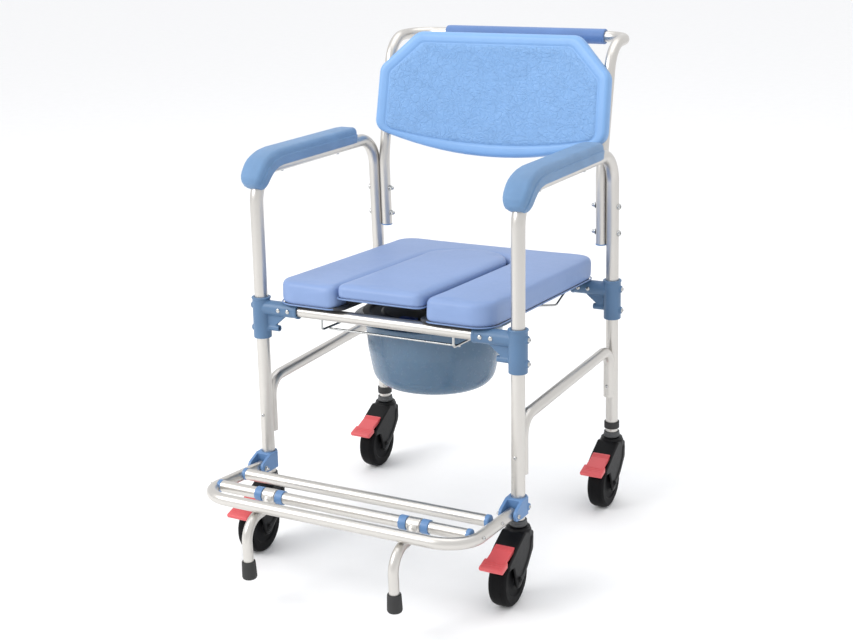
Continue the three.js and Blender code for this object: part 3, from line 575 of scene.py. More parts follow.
def connector_mesh():
    """Sleeve on the post, arm for the seat rail towards -X, gusset, open peg and screw bosses."""
    half = SLEEVE_HEIGHT / 2
    sleeve = soft_lathe([(0, -half, 0), (SLEEVE_R, -half, 1), (SLEEVE_R, half - 4, 0.6),
                         (SLEEVE_R + 1.4, half - 3.4, 0.6), (SLEEVE_R + 1.4, half, 1), (0, half, 0)])
    arm = moved(across(lathe([(0, -ARM_END), (ARM_R, -ARM_END), (ARM_R, 0), (0, 0)])),
                at(0, 0, CONNECTOR_DROP))
    rim = moved(across(lathe([(0, -ARM_END), (ARM_R + 0.9, -ARM_END), (ARM_R + 0.9, -ARM_END + 5),
                              (0, -ARM_END + 5)])), at(0, 0, CONNECTOR_DROP))
    web = moved(
        prism([(-8, -22), (-8, CONNECTOR_DROP), (-54, CONNECTOR_DROP), (-54, 5), (-30, -15)], -4, 4),
        turn(90, "X"),
    )
    peg = moved(across(lathe([(0, -40), (6.2, -40), (6.2, 0), (0, 0)], 32)), at(0, 0, -19))
    bosses = [
        moved(across(soft_lathe([(0, 0, 0), (7.2, 0, 0), (7.2, 20.5, 1.5), (0, 20.5, 0)], 32)),
              at(0, 0, z))
        for z in (-22, 22)
    ]
    bore = lathe([(0, -60), (POST_R + 0.3, -60), (POST_R + 0.3, 60), (0, 60)])
    rail_bore = moved(across(lathe([(0, -ARM_END - 2), (TUBE_R + 0.3, -ARM_END - 2), (TUBE_R + 0.3, -20),
                                    (0, -20)])), at(0, 0, CONNECTOR_DROP))
    peg_bore = moved(across(lathe([(0, -42), (3.8, -42), (3.8, -20), (0, -20)], 24)), at(0, 0, -19))
    solids = [sleeve, arm, rim, web, peg, *bosses]
    return moulded(solids, [bore, rail_bore, peg_bore], voxel=0.8, passes=3)


CONNECTOR = connector_mesh()
for end, height, lean in (("front", SEAT_FRONT, LEAN), ("rear", SEAT_REAR, 0)):
    y = front_post_y(height) if end == "front" else REAR_Y
    for side, sign in SIDES.items():
        post = (
            at(sign * POST_X, y - CONNECTOR_DROP * math.sin(lean), height - CONNECTOR_DROP * math.cos(lean))
            @ Matrix.Rotation(-lean, 4, "X")
        )
        place = post @ turn(0 if sign > 0 else 180, "Z")
        piece(f"{end}_{side}_tee", CONNECTOR, "connector", "frame", place, [f"{end}_{side}_connector"])
        for reach in (47, 68):
            piece(f"{end}_{side}_rivet_{reach}", RIVET, "steel", "frame",
                  post @ at(-sign * reach, -ARM_R + 0.3, CONNECTOR_DROP) @ facing((0, -1, 0)))
        for level, z in (("upper", 22), ("lower", -22)):
            piece(f"{end}_{side}_sleeve_screw_{level}", SCREW, "steel", "frame",
                  post @ at(sign * 20.2, 0, z) @ facing((sign, 0, 0)))


# ------------ armrest pads
ARM_PAD_REAR = 354


def pad_section(foot, up, half_width, thickness):
    """Section across X of the pad: flat sides, a step line and a softly crowned top."""
    skirt = 7.0
    shoulder = min(9.0, half_width * 0.5)
    profile = rounded([
        (-half_width + 1.5, -skirt, 2.0), (-half_width, thickness * 0.42, 0.8),
        (-half_width + 2.0, thickness * 0.47, 0.8),
        (-half_width + 2.6, thickness, shoulder), (half_width - 2.6, thickness, shoulder),
        (half_width - 2.0, thickness * 0.47, 0.8), (half_width, thickness * 0.42, 0.8),
        (half_width - 1.5, -skirt, 2.0),
    ], 6)
    crown = 1.4
    return [
        foot + up * (p.y + (crown * (1 - (p.x / half_width) ** 2) if p.y > thickness * 0.6 else 0))
        + Vector((p.x, 0, 0))
        for p in profile
    ]


def armrest_mesh():
    corners = [Vector(c) for c in FRAME_CORNERS]
    up = (corners[1] - corners[0]).normalized()
    along = (corners[2] - corners[1]).normalized()
    square = Vector((0, -along.z, along.y))
    reach = FRAME_BEND * math.tan(up.angle(along) / 2)
    bend_end = corners[1] + along * reach
    centre = bend_end - square * FRAME_BEND
    base = FRAME_BEND + POST_R - 2

    def eased(value, table):
        for (a, wa, ta), (b, wb, tb) in zip(table, table[1:]):
            if value <= b:
                f = (value - a) / (b - a)
                f = f * f * (3 - 2 * f)
                return wa + (wb - wa) * f, ta + (tb - ta) * f
        return table[-1][1:]

    nose = [(25, 14, 11), (27.5, 20, 19), (32, 24, 24), (40, 26.5, 26), (55, 27, 27.5), (72, 27, 25),
            (82, 27, 24)]
    rings = []
    for degrees in (25, 25.4, 26, 26.8, 28, 30, 33, 37, 42, 47, 52, 58, 64, 71, 78):
        half_width, thickness = eased(degrees, nose)
        angle = math.radians(degrees)
        outward = Vector((0, -math.cos(angle), math.sin(angle)))
        rings.append(pad_section(centre + outward * base, outward, half_width, thickness))
    length = ARM_PAD_REAR - bend_end.y
    tail = [(0, 27, 24), (length - 26, 27, 24), (length - 9, 25, 23.5), (length - 2, 20, 21.5),
            (length, 15, 19)]
    spots = [length * k / 12 for k in range(11)]
    spots += [length - short for short in (24, 18, 12, 8, 5, 2.5, 0.8, 0)]
    for distance in spots:
        half_width, thickness = eased(distance, tail)
        foot = bend_end + along * distance + square * (POST_R - 2)
        rings.append(pad_section(foot, square, half_width, thickness))
    return to_mesh(skin(rings), 60)


ARMREST = armrest_mesh()
for side, sign in SIDES.items():
    pad = piece(f"{side}_armrest_shell", ARMREST, "armrest", "frame", at(sign * POST_X, 0, 0),
                [f"{side}_armrest_pad"])
    for label, y in (("front", 100), ("rear", 305)):
        run = (y - front_post_y(RAIL_FRONT)) / (REAR_Y - front_post_y(RAIL_FRONT))
        level = RAIL_FRONT + (RAIL_REAR - RAIL_FRONT) * run - POST_R
        piece(f"{side}_armrest_screw_{label}", SMALL_SCREW, "steel", "frame",
              at(sign * POST_X, y, level) @ facing((0, 0, -1)))


# ------------ backrest
def back_corners():
    lean_y = REAR_Y + (HANDLE_Z - BACK_BEND) * math.tan(BACK_LEAN)
    half = [
        (UPRIGHT_X, REAR_Y, UPRIGHT_END),
        (UPRIGHT_X, REAR_Y, BACK_BEND),
        (UPRIGHT_X, lean_y, HANDLE_Z),
        (UPRIGHT_X, HANDLE_Y, HANDLE_Z),
    ]
    return half + mirrored(half)


piece("backrest_tube", to_mesh(tube(back_corners(), BACK_RADII, TUBE_R, TUBE_WALL, 40)), "tube",
      "frame", None, ["backrest_frame"])
PLUG = to_mesh(soft_lathe([
    (0, -2.5, 0), (TUBE_R + 0.4, -2.5, 1.2), (TUBE_R + 0.4, 0.2, 0.3), (0, 0.2, 0)], 40))
PLUG.materials.append(MATERIALS["bracket"])
for side, sign in SIDES.items():
    piece(f"{side}_upright_plug", PLUG, "bracket", "frame", at(sign * UPRIGHT_X, REAR_Y, UPRIGHT_END))
    for label, z in zip(("upper", "lower"), BOLT_LEVELS):
        piece(f"{side}_{label}_bolt_head", SCREW, "steel", "frame",
              at(sign * (POST_X + POST_R), REAR_Y, z) @ facing((sign, 0, 0)) @ Matrix.Scale(1.35, 4),
              [f"{side}_back_bolt_{label}"])
        piece(f"{side}_{label}_cap_nut", CAP_NUT, "steel", "frame",
              at(sign * (UPRIGHT_X - TUBE_R), REAR_Y, z) @ facing((-sign, 0, 0)))

PANEL_LOW_Z = 772
PANEL_FRONT_Y = 440
PANEL_THICK = 26
PANEL_HOLLOW = 30
PANEL_HALF = 260
PANEL_GROOVE = 23


def panel_outline(inset, steps=7):
    """Outline of the back panel in (x, up), moved in by the inset; its belly is an arc."""
    belly = 62 - inset
    side = PANEL_HALF - inset
    corner = max(15, 26 - inset * 0.4)
    low = -18 + inset * 0.15
    shoulder = 111 - inset * 0.45
    top_half = 180 - inset * 0.55
    top = 188 - inset
    bottom = [
        (x, -belly + (belly + low) * (abs(x) / side) ** 2.1, 0)
        for x in (side * k / 9 for k in range(-8, 9))
    ]
    return rounded(
        [(-side, low, corner), *bottom, (side, low, corner), (side - 3, shoulder, corner * 1.1),
         (top_half, top, corner * 1.3), (-top_half, top, corner * 1.3), (-side + 3, shoulder, corner * 1.1)],
        steps,
    )


def panel_mesh():
    """Dished pad: rolled edge, smooth border, groove, then the creased field."""
    rim = [(13, 0), (9, 0.5), (5.5, 1.6), (2.8, 3.6), (1.0, 6.4), (0.2, 10), (0, 15), (0.2, 18)]
    groove = [(0.1, PANEL_GROOVE - 2.5), (1.5, PANEL_GROOVE - 0.6), (1.9, PANEL_GROOVE + 0.8),
              (1.2, PANEL_GROOVE + 2.4), (-0.2, PANEL_GROOVE + 5.0), (-0.8, PANEL_GROOVE + 8.0)]
    behind = [(PANEL_THICK - drop, inset) for drop, inset in ((0, 8.0), (1, 3.5), (4, 1.0), (9, 0.0))]
    edge = behind + rim[:1] + [(depth - 0.2, inset) for depth, inset in rim[1:] + groove]
    rows = [(depth, panel_outline(inset)) for depth, inset in edge]
    field = panel_outline(PANEL_GROOVE + 8.0)
    middle = Vector((0, 62))
    for shrink in (0.92, 0.82, 0.7, 0.56, 0.42, 0.28, 0.14, 0.04):
        rows.append((-0.9, [middle + (p - middle) * shrink for p in field]))
    back = panel_outline(8.0)
    hub = [
        (PANEL_THICK, [middle + (p - middle) * shrink for p in back]) for shrink in (0.04, 0.3, 0.6, 0.85)
    ]
    rings = []
    for depth, outline in hub + rows:
        rings.append([
            Vector((p.x, depth + PANEL_HOLLOW * (1 - min(1, abs(p.x) / PANEL_HALF) ** 2), p.y))
            for p in outline
        ])
    bm = skin(rings)
    field_from = len(hub) + 4 + len(rim) + len(groove) - 3
    count = len(rings[0])
    bm.faces.ensure_lookup_table()
    for index, face in enumerate(bm.faces):
        if index // count >= field_from and index < (len(rings) - 1) * count:
            face.material_index = 1
    bm.faces[len(bm.faces) - 1].material_index = 1
    mesh = to_mesh(bm, 70)
    mesh.materials.append(MATERIALS["panel"])
    mesh.materials.append(MATERIALS["inset"])
    return mesh


PANEL = piece("back_pad", panel_mesh(), "panel", "frame",
              at(0, PANEL_FRONT_Y, PANEL_LOW_Z) @ Matrix.Rotation(-BACK_LEAN, 4, "X"), ["backrest_panel"])

GRIP_FROM = -168
GRIP_TO = 192
GRIP = piece("push_bar_sleeve", to_mesh(across(soft_lathe([
    (TUBE_R + 0.1, GRIP_FROM, 0.5), (15.0, GRIP_FROM, 2.0), (15.6, GRIP_FROM + 8, 4), (15.4, GRIP_TO - 8, 4),
    (15.6, GRIP_TO, 2.0), (TUBE_R + 0.1, GRIP_TO, 0.5)], 48))),
    "grip", "frame", at(0, HANDLE_Y, HANDLE_Z), ["push_grip"])


# ------------ seat
SEAT_HALF = 226
SEAT_FRONT_EDGE = -22
SEAT_REAR_EDGE = 486
SEAT_CORNER = 42
BOARD_LOW = 4.1
BOARD_HIGH = 9.3
SEAT_TOP = 51
SLOT_HALF = 93
SLOT_STRAIGHT = 318
INSERT_HALF = 90.5
INSERT_FRONT = -25
INSERT_LOW = 28
INSERT_TOP = 57
LEDGE_HALF = 80
LEDGE_TOP = 17.7


def horseshoe(inset, slot_half, steps=8):
    """Rounded block with a round-ended slot open at the front."""
    half = SEAT_HALF - inset
    front = SEAT_FRONT_EDGE + inset
    rear = SEAT_REAR_EDGE - inset
    corner = SEAT_CORNER - inset
    arc = 28
    slot = [
        (-slot_half * math.cos(math.pi * i / arc), SLOT_STRAIGHT + slot_half * math.sin(math.pi * i / arc), 0)
        for i in range(arc + 1)
    ]
    return rounded([(-half, front, corner), (-slot_half, front, 16), *slot, (slot_half, front, 16),
                    (half, front, corner), (half, rear, corner), (-half, rear, corner)], steps)


def tongue(half, front, corner=16, steps=8):
    """Outline of the lift-out insert: square at the front and round at the rear."""
    arc = 28
    rear = [
        (half * math.cos(math.pi * i / arc), SLOT_STRAIGHT + half * math.sin(math.pi * i / arc), 0)
        for i in range(arc + 1)
    ]
    return rounded([(-half, front, corner), (half, front, corner), *rear], steps)


CUSHION_VOXEL = 4.0
CUSHION_PRESSURE = 4.0
SWELL_LIMIT = 0.9


def cushion_mesh(outline, low_z, high_z, edge):
    """Upholstered pad: a bevelled block whose skin is swollen by a cloth simulation."""
    block = to_mesh(prism(outline, low_z, high_z - 1.5, bevel=edge, segments=5))
    soft = evaluated(evaluated(block, remesh(CUSHION_VOXEL)), smooth(2))
    swell(soft, CUSHION_PRESSURE, SWELL_LIMIT * MM)
    return shaded(evaluated(soft, smooth(2), ("SUBSURF", {"levels": 1, "render_levels": 1})), 180)


def swell(mesh, pressure, cap):
    """Inflates the mesh as cloth and moves its vertices by at most cap."""
    start = [v.co.copy() for v in mesh.vertices]
    bottom = min(v.z for v in start)
    holder = scene_object("cushion_cloth", mesh)
    group = holder.vertex_groups.new(name="sewn")
    group.add([v.index for v in mesh.vertices if v.co.z < bottom + 4 * MM], 1.0, "REPLACE")
    cloth = holder.modifiers.new("cloth", "CLOTH")
    cloth.settings.use_pressure = True
    cloth.settings.uniform_pressure_force = pressure
    cloth.settings.vertex_group_mass = "sewn"
    cloth.settings.effector_weights.gravity = 0
    cloth.settings.tension_stiffness = 40
    cloth.settings.compression_stiffness = 40
    scene = bpy.context.scene
    for step in range(1, 21):
        scene.frame_set(step)
    graph = bpy.context.evaluated_depsgraph_get()
    shape = holder.evaluated_get(graph).data
    ends = [v.co.copy() for v in shape.vertices]
    bpy.data.objects.remove(holder)
    scene.frame_set(1)
    for vertex, old, new in zip(mesh.vertices, start, ends):
        step = new - old
        if step.length > cap:
            step *= cap / step.length
        vertex.co = old + step


def welt(outline, z):
    """Thin moulded lip round a cushion's lower edge."""
    corners = [(p[0], p[1], z) for p in outline]
    stations = []
    for i, corner in enumerate(corners):
        heading = Vector(corners[(i + 1) % len(corners)]) - Vector(corners[i - 1])
        stations.append((Vector(corner), heading.normalized()))
    return to_mesh(skin(sweep_rings(stations, 1.5, 10), closed=True), 180)


SEAT_EDGE = 10
INSERT_EDGE = 9
seat_mesh = cushion_mesh(horseshoe(0.6, SLOT_HALF + 0.6), BOARD_LOW + 0.4, SEAT_TOP, SEAT_EDGE)
seat_pad = piece("seat_upholstery", seat_mesh, "seat", "frame", SEAT_PLANE, ["seat_cushion"])
seat_lip = welt(horseshoe(0.8, SLOT_HALF + 0.8), BOARD_LOW + 1.9)
piece("seat_lip", seat_lip, "welt", "frame", SEAT_PLANE)
insert_mesh = cushion_mesh(tongue(INSERT_HALF - 0.8, INSERT_FRONT + 0.8), INSERT_LOW, INSERT_TOP, INSERT_EDGE)
insert_pad = piece("insert_upholstery", insert_mesh, "seat", "seat_insert", SEAT_PLANE, ["insert_cushion"])
insert_lip = welt(tongue(INSERT_HALF - 1.2, INSERT_FRONT + 1.2), INSERT_LOW + 1.4)
piece("insert_lip", insert_lip, "welt", "seat_insert", SEAT_PLANE)
piece("seat_base_board", to_mesh(prism(horseshoe(5, LEDGE_HALF), BOARD_LOW, BOARD_HIGH, bevel=0.8)), "board",
      "frame", SEAT_PLANE, ["seat_board"])


def ledge_outline(steps=28):
    outer = SLOT_HALF - 1
    arc = [(math.cos(math.pi * i / steps), math.sin(math.pi * i / steps)) for i in range(steps + 1)]
    outside = [(outer * c, SLOT_STRAIGHT + outer * s) for c, s in arc]
    inside = [(LEDGE_HALF * c, SLOT_STRAIGHT + LEDGE_HALF * s) for c, s in reversed(arc)]
    return [(outer, 22), *outside, (-outer, 22), (-LEDGE_HALF, 22), *inside, (LEDGE_HALF, 22)]


piece("seat_ledge", to_mesh(prism(ledge_outline(), BOARD_HIGH, LEDGE_TOP)), "board", "frame", SEAT_PLANE)
insert_board = prism(tongue(INSERT_HALF - 3, 28), LEDGE_TOP + 0.3, INSERT_LOW, bevel=0.8)
piece("insert_base_board", to_mesh(insert_board), "board", "seat_insert", SEAT_PLANE, ["insert_board"])


# ------------ pan, lid, bail and rack
RACK_X = 139
RACK_DROP = 9
RACK_JOG_X = 172
RACK_Z = -43
RACK_WIRE = 2.2
PAN_Y = 200
PAN_RIM = 157
PAN_MOUTH = 135
FLANGE_Z = RACK_Z + RACK_WIRE + 0.3
PAN_TOP = FLANGE_Z + 10
PAN_BOTTOM = PAN_TOP - 150
PAN_PLACE = SEAT_PLANE @ at(0, PAN_Y, 0)


def pan_mesh():
    wall = 2.6
    outer = [
        (0, PAN_BOTTOM, 0), (68, PAN_BOTTOM, 5), (72, PAN_BOTTOM + 3, 3), (116, PAN_BOTTOM + 9, 36),
        (130, PAN_BOTTOM + 80, 80), (PAN_MOUTH, FLANGE_Z - 4, 4), (PAN_RIM, FLANGE_Z - 0.4, 1.0),
        (PAN_RIM, FLANGE_Z + 3, 1.4), (PAN_MOUTH + 3, FLANGE_Z + 3.4, 2.0), (PAN_MOUTH + 2, PAN_TOP, 1.0),
    ]
    inner = [
        (PAN_MOUTH - 1.5, PAN_TOP, 1.0), (PAN_MOUTH - 4, FLANGE_Z - 6, 8),
        (130 - wall, PAN_BOTTOM + 80, 76), (116 - wall, PAN_BOTTOM + 11.5, 33),
        (68, PAN_BOTTOM + wall, 5), (0, PAN_BOTTOM + wall, 0),
    ]
    return to_mesh(soft_lathe(outer + inner, 96, 6), 50)


def lid_mesh():
    bottom = PAN_TOP + 0.3
    return to_mesh(soft_lathe([
        (0, bottom - 4, 0), (PAN_MOUTH - 12, bottom - 4, 2), (PAN_MOUTH - 10, bottom, 1),
        (PAN_MOUTH + 6, bottom - 0.1, 1), (PAN_MOUTH + 6, bottom + 2.4, 1.1),
        (PAN_MOUTH - 8, bottom + 2.6, 2), (PAN_MOUTH - 12, bottom - 0.5, 2), (104, bottom - 0.5, 2),
        (100, bottom + 2.2, 2), (30, bottom + 2.8, 4), (26, bottom + 1, 2), (0, bottom + 1, 0)], 96), 50)


piece("pan_shell", pan_mesh(), "pan", "pan", PAN_PLACE, ["commode_pan"])
piece("pan_cover", lid_mesh(), "lid", "lid", PAN_PLACE, ["pan_lid"])
clip_outline = rounded([(-17, -116, 4), (17, -116, 4), (17, -96, 4), (-17, -96, 4)])
lid_clip = to_mesh(prism(clip_outline, PAN_TOP + 1.6, PAN_TOP + 8.3, bevel=1.2))
piece("pan_cover_clip", lid_clip, "clip", "lid", PAN_PLACE)


def bail_mesh():
    radius = PAN_RIM - 7
    steps = 40
    stations = []
    for i in range(steps + 1):
        angle = math.pi * i / steps
        point = Vector((radius * math.cos(angle), radius * math.sin(angle), 0))
        stations.append((point, Vector((-math.sin(angle), math.cos(angle), 0))))
    return to_mesh(skin(sweep_rings(stations, 2, 16)))


piece("bail_wire", bail_mesh(), "steel", "bail", PAN_PLACE @ at(0, 0, FLANGE_Z + 5.3), ["pan_bail"])


def rack_mesh():
    rear_y = REAR_Y / math.cos(SEAT_TILT) - 5
    wires = []
    for sign in (1, -1):
        wires.append(tube([
            (sign * RACK_X, RACK_DROP, -2 * TUBE_R), (sign * RACK_X, RACK_DROP, RACK_Z),
            (sign * RACK_X, 376, RACK_Z), (sign * RACK_JOG_X, 398, RACK_Z),
            (sign * RACK_JOG_X, rear_y, -2 * TUBE_R - 0.4),
        ], [7, 10, 9], RACK_WIRE, 0, 16))
    wires.append(tube([(-RACK_X, 36, RACK_Z - 3.4), (RACK_X, 36, RACK_Z - 3.4)], [], RACK_WIRE, 0, 16))
    return to_mesh(joined(*wires))


piece("rack_wire", rack_mesh(), "steel", "frame", SEAT_PLANE, ["pan_rack"])


# ------------ footrest
def rest_corners():
    slope = (REST_FRONT_Z - PIVOT_Z) / (PIVOT_Y - REST_FRONT_Y)
    tail = 9
    half = [
        (POST_X, PIVOT_Y + tail, PIVOT_Z - slope * tail),
        (POST_X, PIVOT_Y - 12, PIVOT_Z + slope * 12),
        (REST_CORNER_X, REST_FRONT_Y, REST_FRONT_Z),
    ]
    return half + mirrored(half)


piece("footrest_hoop", to_mesh(tube(rest_corners(), [120, 62, 62, 120], TUBE_R, TUBE_WALL, 40)), "tube",
      "footrest", None, ["footrest_frame"])


def rest_tube_x(y):
    return POST_X + (REST_CORNER_X - POST_X) * (PIVOT_Y - 12 - y) / (PIVOT_Y - 12 - REST_FRONT_Y)


COLLAR = to_mesh(across(soft_lathe([
    (TUBE_R, -7.5, 0.3), (TUBE_R + 2.1, -7.5, 0.8), (TUBE_R + 2.1, 7.5, 0.8), (TUBE_R, 7.5, 0.3)], 40)))
END_PLUG = to_mesh(across(soft_lathe([
    (0, -7, 0), (TUBE_R + 0.7, -7, 1.2), (TUBE_R + 0.7, 1.2, 2.0), (0, 1.2, 0)], 40)))
COLLAR.materials.append(MATERIALS["bracket"])
END_PLUG.materials.append(MATERIALS["bracket"])

for label, (y, z) in (("rear", REAR_BAR), ("front", FRONT_BAR)):
    reach = rest_tube_x(y) - TUBE_R - 1.8
    bar = to_mesh(tube([(-reach + 2, y, z), (reach - 2, y, z)], [], TUBE_R, 0, 40))
    piece(f"footrest_{label}_bar_tube", bar, "tube", "footrest", None, [f"footrest_{label}_bar"])
    for side, sign in SIDES.items():
        piece(f"footrest_{label}_{side}_plug", END_PLUG, "bracket", "footrest", at(sign * (reach - 1), y, z))
        piece(f"footrest_{label}_{side}_screw", SMALL_SCREW, "steel", "footrest",
              at(sign * (rest_tube_x(y) + TUBE_R - 0.4), y, z) @ facing((sign, 0, 0)))


def rest_leg_mesh():
    """Hinged prop: tee sleeve on the bar and a bent leg welded to it."""
    run = REST_FRONT_Z - TUBE_R - REST_LEG_R - 1
    y, z = FRONT_BAR
    leg = tube([(0, y, z), (0, y - 30, run), (0, REST_LEG_Y, run), (0, REST_LEG_Y, 66)], [14, 40],
               REST_LEG_R, 0, 32)
    sleeve = moved(across(soft_lathe([
        (0, -13, 0), (TUBE_R + 2.2, -13, 1), (TUBE_R + 2.2, 13, 1), (0, 13, 0)], 40)), at(0, y, z))
    weld = moved(lathe([(0, -3), (REST_LEG_R + 2.5, -3), (REST_LEG_R + 1.2, 4), (0, 4)], 32),
                 at(0, y - TUBE_R + 1, z - 6) @ facing((0, -0.87, -0.5)))
    return moulded([leg, sleeve, weld], [], voxel=0.8, passes=3)


REST_LEG = rest_leg_mesh()
LEG_TIP = to_mesh(soft_lathe([
    (0, 57, 0), (12.4, 57, 2.5), (13.8, 61, 1), (13.6, 68, 0.6), (12.6, 89, 0.6), (11.8, 91, 0.8),
    (REST_LEG_R, 91, 0.3), (REST_LEG_R - 1, 85, 0.3), (0, 85, 0)], 40), 45)
for side, sign in SIDES.items():
    body = f"{side}_footrest_leg"
    hinge = at(sign * REST_LEG_X, 0, 0)
    piece(f"{side}_rest_leg_tube", REST_LEG, "tube", body, hinge, [f"{side}_footrest_leg"])
    piece(f"{side}_rest_leg_tip", LEG_TIP, "grey", body, hinge @ at(0, REST_LEG_Y, 0), [f"{side}_leg_tip"])
    for label, offset in (("inner", -22), ("outer", 22)):
        piece(f"{side}_{label}_collar", COLLAR, "bracket", "footrest",
              at(sign * (REST_LEG_X + offset), *FRONT_BAR))

BRACKET_Z = 174.5


def bracket_mesh():
    """Clevis moulded round the post; local origin on the post's axis."""
    half = 17
    sleeve = soft_lathe([(0, -half, 0), (SLEEVE_R, -half, 1), (SLEEVE_R, half, 1.2), (0, half, 0)])
    pivot = Vector((0, PIVOT_Y - front_post_y(BRACKET_Z), PIVOT_Z - BRACKET_Z))
    pivot = Matrix.Rotation(LEAN, 3, "X") @ pivot
    cheeks = side_prism(rounded([
        (6, -half, 0), (6, half, 0), (-17, half, 6), (pivot.y - 12, 3, 11), (pivot.y - 10, -14, 9),
        (-22, -half, 3),
    ], 8), -17.5, 17.5)
    boss = moved(across(soft_lathe([(0, 0, 0), (6.5, 0, 0), (6.5, 19, 1), (0, 19, 0)], 32)), at(0, 8, -4))
    bore = lathe([(0, -60), (POST_R + 0.3, -60), (POST_R + 0.3, 60), (0, 60)])
    slot = side_prism([(-20, -40), (-20, 40), (-80, 40), (-80, -40)], -TUBE_R - 0.8, TUBE_R + 0.8)
    return moulded([sleeve, cheeks, boss], [bore, slot], voxel=0.7, passes=3)


BRACKET = bracket_mesh()
for side, sign in SIDES.items():
    place = at(sign * POST_X, front_post_y(BRACKET_Z), BRACKET_Z) @ Matrix.Rotation(-LEAN, 4, "X")
    mirror = Matrix.Scale(sign, 4, (1, 0, 0))
    mesh = BRACKET if sign > 0 else BRACKET.copy()
    if sign < 0:
        mesh.transform(mirror)
        mesh.flip_normals()
    piece(f"{side}_footrest_clevis", mesh, "bracket", "frame", place, [f"{side}_footrest_bracket"])
    piece(f"{side}_clevis_side_screw", SMALL_SCREW, "steel", "frame",
          place @ at(sign * 18.6, 8, -4) @ facing((sign, 0, 0)))
    piece(f"{side}_pivot_screw", SCREW, "steel", "frame",
          at(sign * (POST_X + 17.3), PIVOT_Y, PIVOT_Z) @ facing((sign, 0, 0)),
          [f"{side}_footrest_pivot_bolt"])
    piece(f"{side}_pivot_nut", CAP_NUT, "steel", "frame",
          at(sign * (POST_X - 17.3), PIVOT_Y, PIVOT_Z) @ facing((-sign, 0, 0)) @ Matrix.Scale(0.85, 4))


# ------------ castered legs
PEDAL_Y = -58
PEDAL_Z = 110
CROWN = COLLAR_BOTTOM - 0.3


def fork_mesh():
    """Moulded hood and cheeks that trail towards -Y, with a swept rib on each cheek."""
    cheek = rounded([
        (18, CROWN - 12, 6), (17, 92, 16), (-10, 60, 18), (-TRAIL + 8, 36, 12), (-TRAIL - 8, 34, 10),
        (-TRAIL - 14, 60, 12), (PEDAL_Y - 9, 83, 6), (PEDAL_Y - 28, 84, 3), (PEDAL_Y - 29, 95, 4),
        (PEDAL_Y + 4, 115, 14), (-20, CROWN - 4, 6),
    ], 8)
    body = side_prism(cheek, -FORK_HALF, FORK_HALF, bevel=2.6)
    rib = rounded([
        (13, CROWN - 20, 3), (12, 92, 14), (-12, 64, 14), (-TRAIL + 4, 42, 10), (-TRAIL - 9, 42, 7),
        (-TRAIL - 6, 56, 6), (-TRAIL + 12, 60, 10), (-12, 78, 14), (0, 96, 12), (4, CROWN - 20, 3),
    ], 8)
    ribs = side_prism(rib, -FORK_HALF - 1.8, FORK_HALF + 1.8, bevel=1.4)
    hub = soft_lathe([
        (0, CROWN - 28, 0), (23.4, CROWN - 28, 0), (23.4, CROWN - 19, 1.5), (21.8, CROWN - 18, 0.8),
        (21.8, CROWN - 15.5, 0.8), (24.0, CROWN - 14.5, 1.2), (24.0, CROWN - 6, 2.0),
        (21.8, CROWN - 4.5, 0.8), (21.8, CROWN - 3, 0.6), (22.4, CROWN - 2.4, 0.6),
        (21.6, CROWN - 0.4, 0.8), (0, CROWN - 0.4, 0),
    ], 64)
    room = WHEEL_R + 3.5
    well_profile = [(0, -FORK_GAP_HALF), (room, -FORK_GAP_HALF), (room, FORK_GAP_HALF), (0, FORK_GAP_HALF)]
    well = moved(across(lathe(well_profile, 64)), at(0, -TRAIL, WHEEL_R))
    mouth_outline = [(-TRAIL - 70, -8), (24, -8), (-TRAIL + 53.5, WHEEL_R), (-TRAIL - 70, WHEEL_R)]
    mouth = side_prism(mouth_outline, -FORK_GAP_HALF - 0.1, FORK_GAP_HALF + 0.1)
    far, near = PEDAL_Y - 60, PEDAL_Y + 1.0
    slot_outline = [(far, 20), (near, 20), (near, 160), (far, 160)]
    pedal_slot = side_prism(slot_outline, -FORK_GAP_HALF + 0.1, FORK_GAP_HALF - 0.1)
    return moulded([body, ribs, hub], [well, mouth, pedal_slot], voxel=0.9, passes=4)


def wheel_mesh():
    """Solid tyre on a dished centre, turned about X."""
    half = [
        (12, 18.2, 1), (13.5, 15.8, 1), (21, 14.4, 2), (32, 14.4, 2), (34, 16.8, 1.2), (45, 17.5, 3),
        (50.8, 14.5, 4), (WHEEL_R, 8, 5),
    ]
    profile = [(4, 18.2, 0.5), *half, *[(r, -z, f) for r, z, f in reversed(half)], (4, -18.2, 0.5)]
    return to_mesh(across(soft_lathe(profile, 96, 5)), 40)


def ridged(start, end, spots, width, depth):
    """Points from start to end with square-shouldered ridges at the given distances."""
    a = Vector(start)
    b = Vector(end)
    along = (b - a).normalized()
    up = Vector((along.y, -along.x))
    points = [a]
    for spot in spots:
        for distance, rise in ((-width / 2, 0), (-width / 4, depth), (width / 4, depth), (width / 2, 0)):
            points.append(a + along * (spot + distance) + up * rise)
    points.append(b)
    return points


def pedal_mesh():
    """Brake pedal about its pivot: ridged plate that ends in a thick, broad tread."""
    top = ridged((3, 7.6), (-39, -6.2), (4, 7.5, 11), 2.0, 0.9)
    plate = side_prism([*top, (-39, -12), (0, -2.5), (3, 1.0)], -18, 18, bevel=0)
    tread_outline = [(-35, -5.2, 0), (-35, -15, 0), (-57, -21, 3.6), (-62, -13, 3.6), (-48, -8.8, 0)]
    tread = side_prism(rounded(tread_outline, 8), -23, 23, bevel=1.8)
    ribs = [
        side_prism([(y - 1.2, -12), (y - 0.6, top_z), (y + 0.6, top_z), (y + 1.2, -12)], -19, 19)
        for y, top_z in ((-41, -6.2), (-45.5, -7.4), (-50, -8.8))
    ]
    return to_mesh(joined(plate, tread, *ribs), 40)


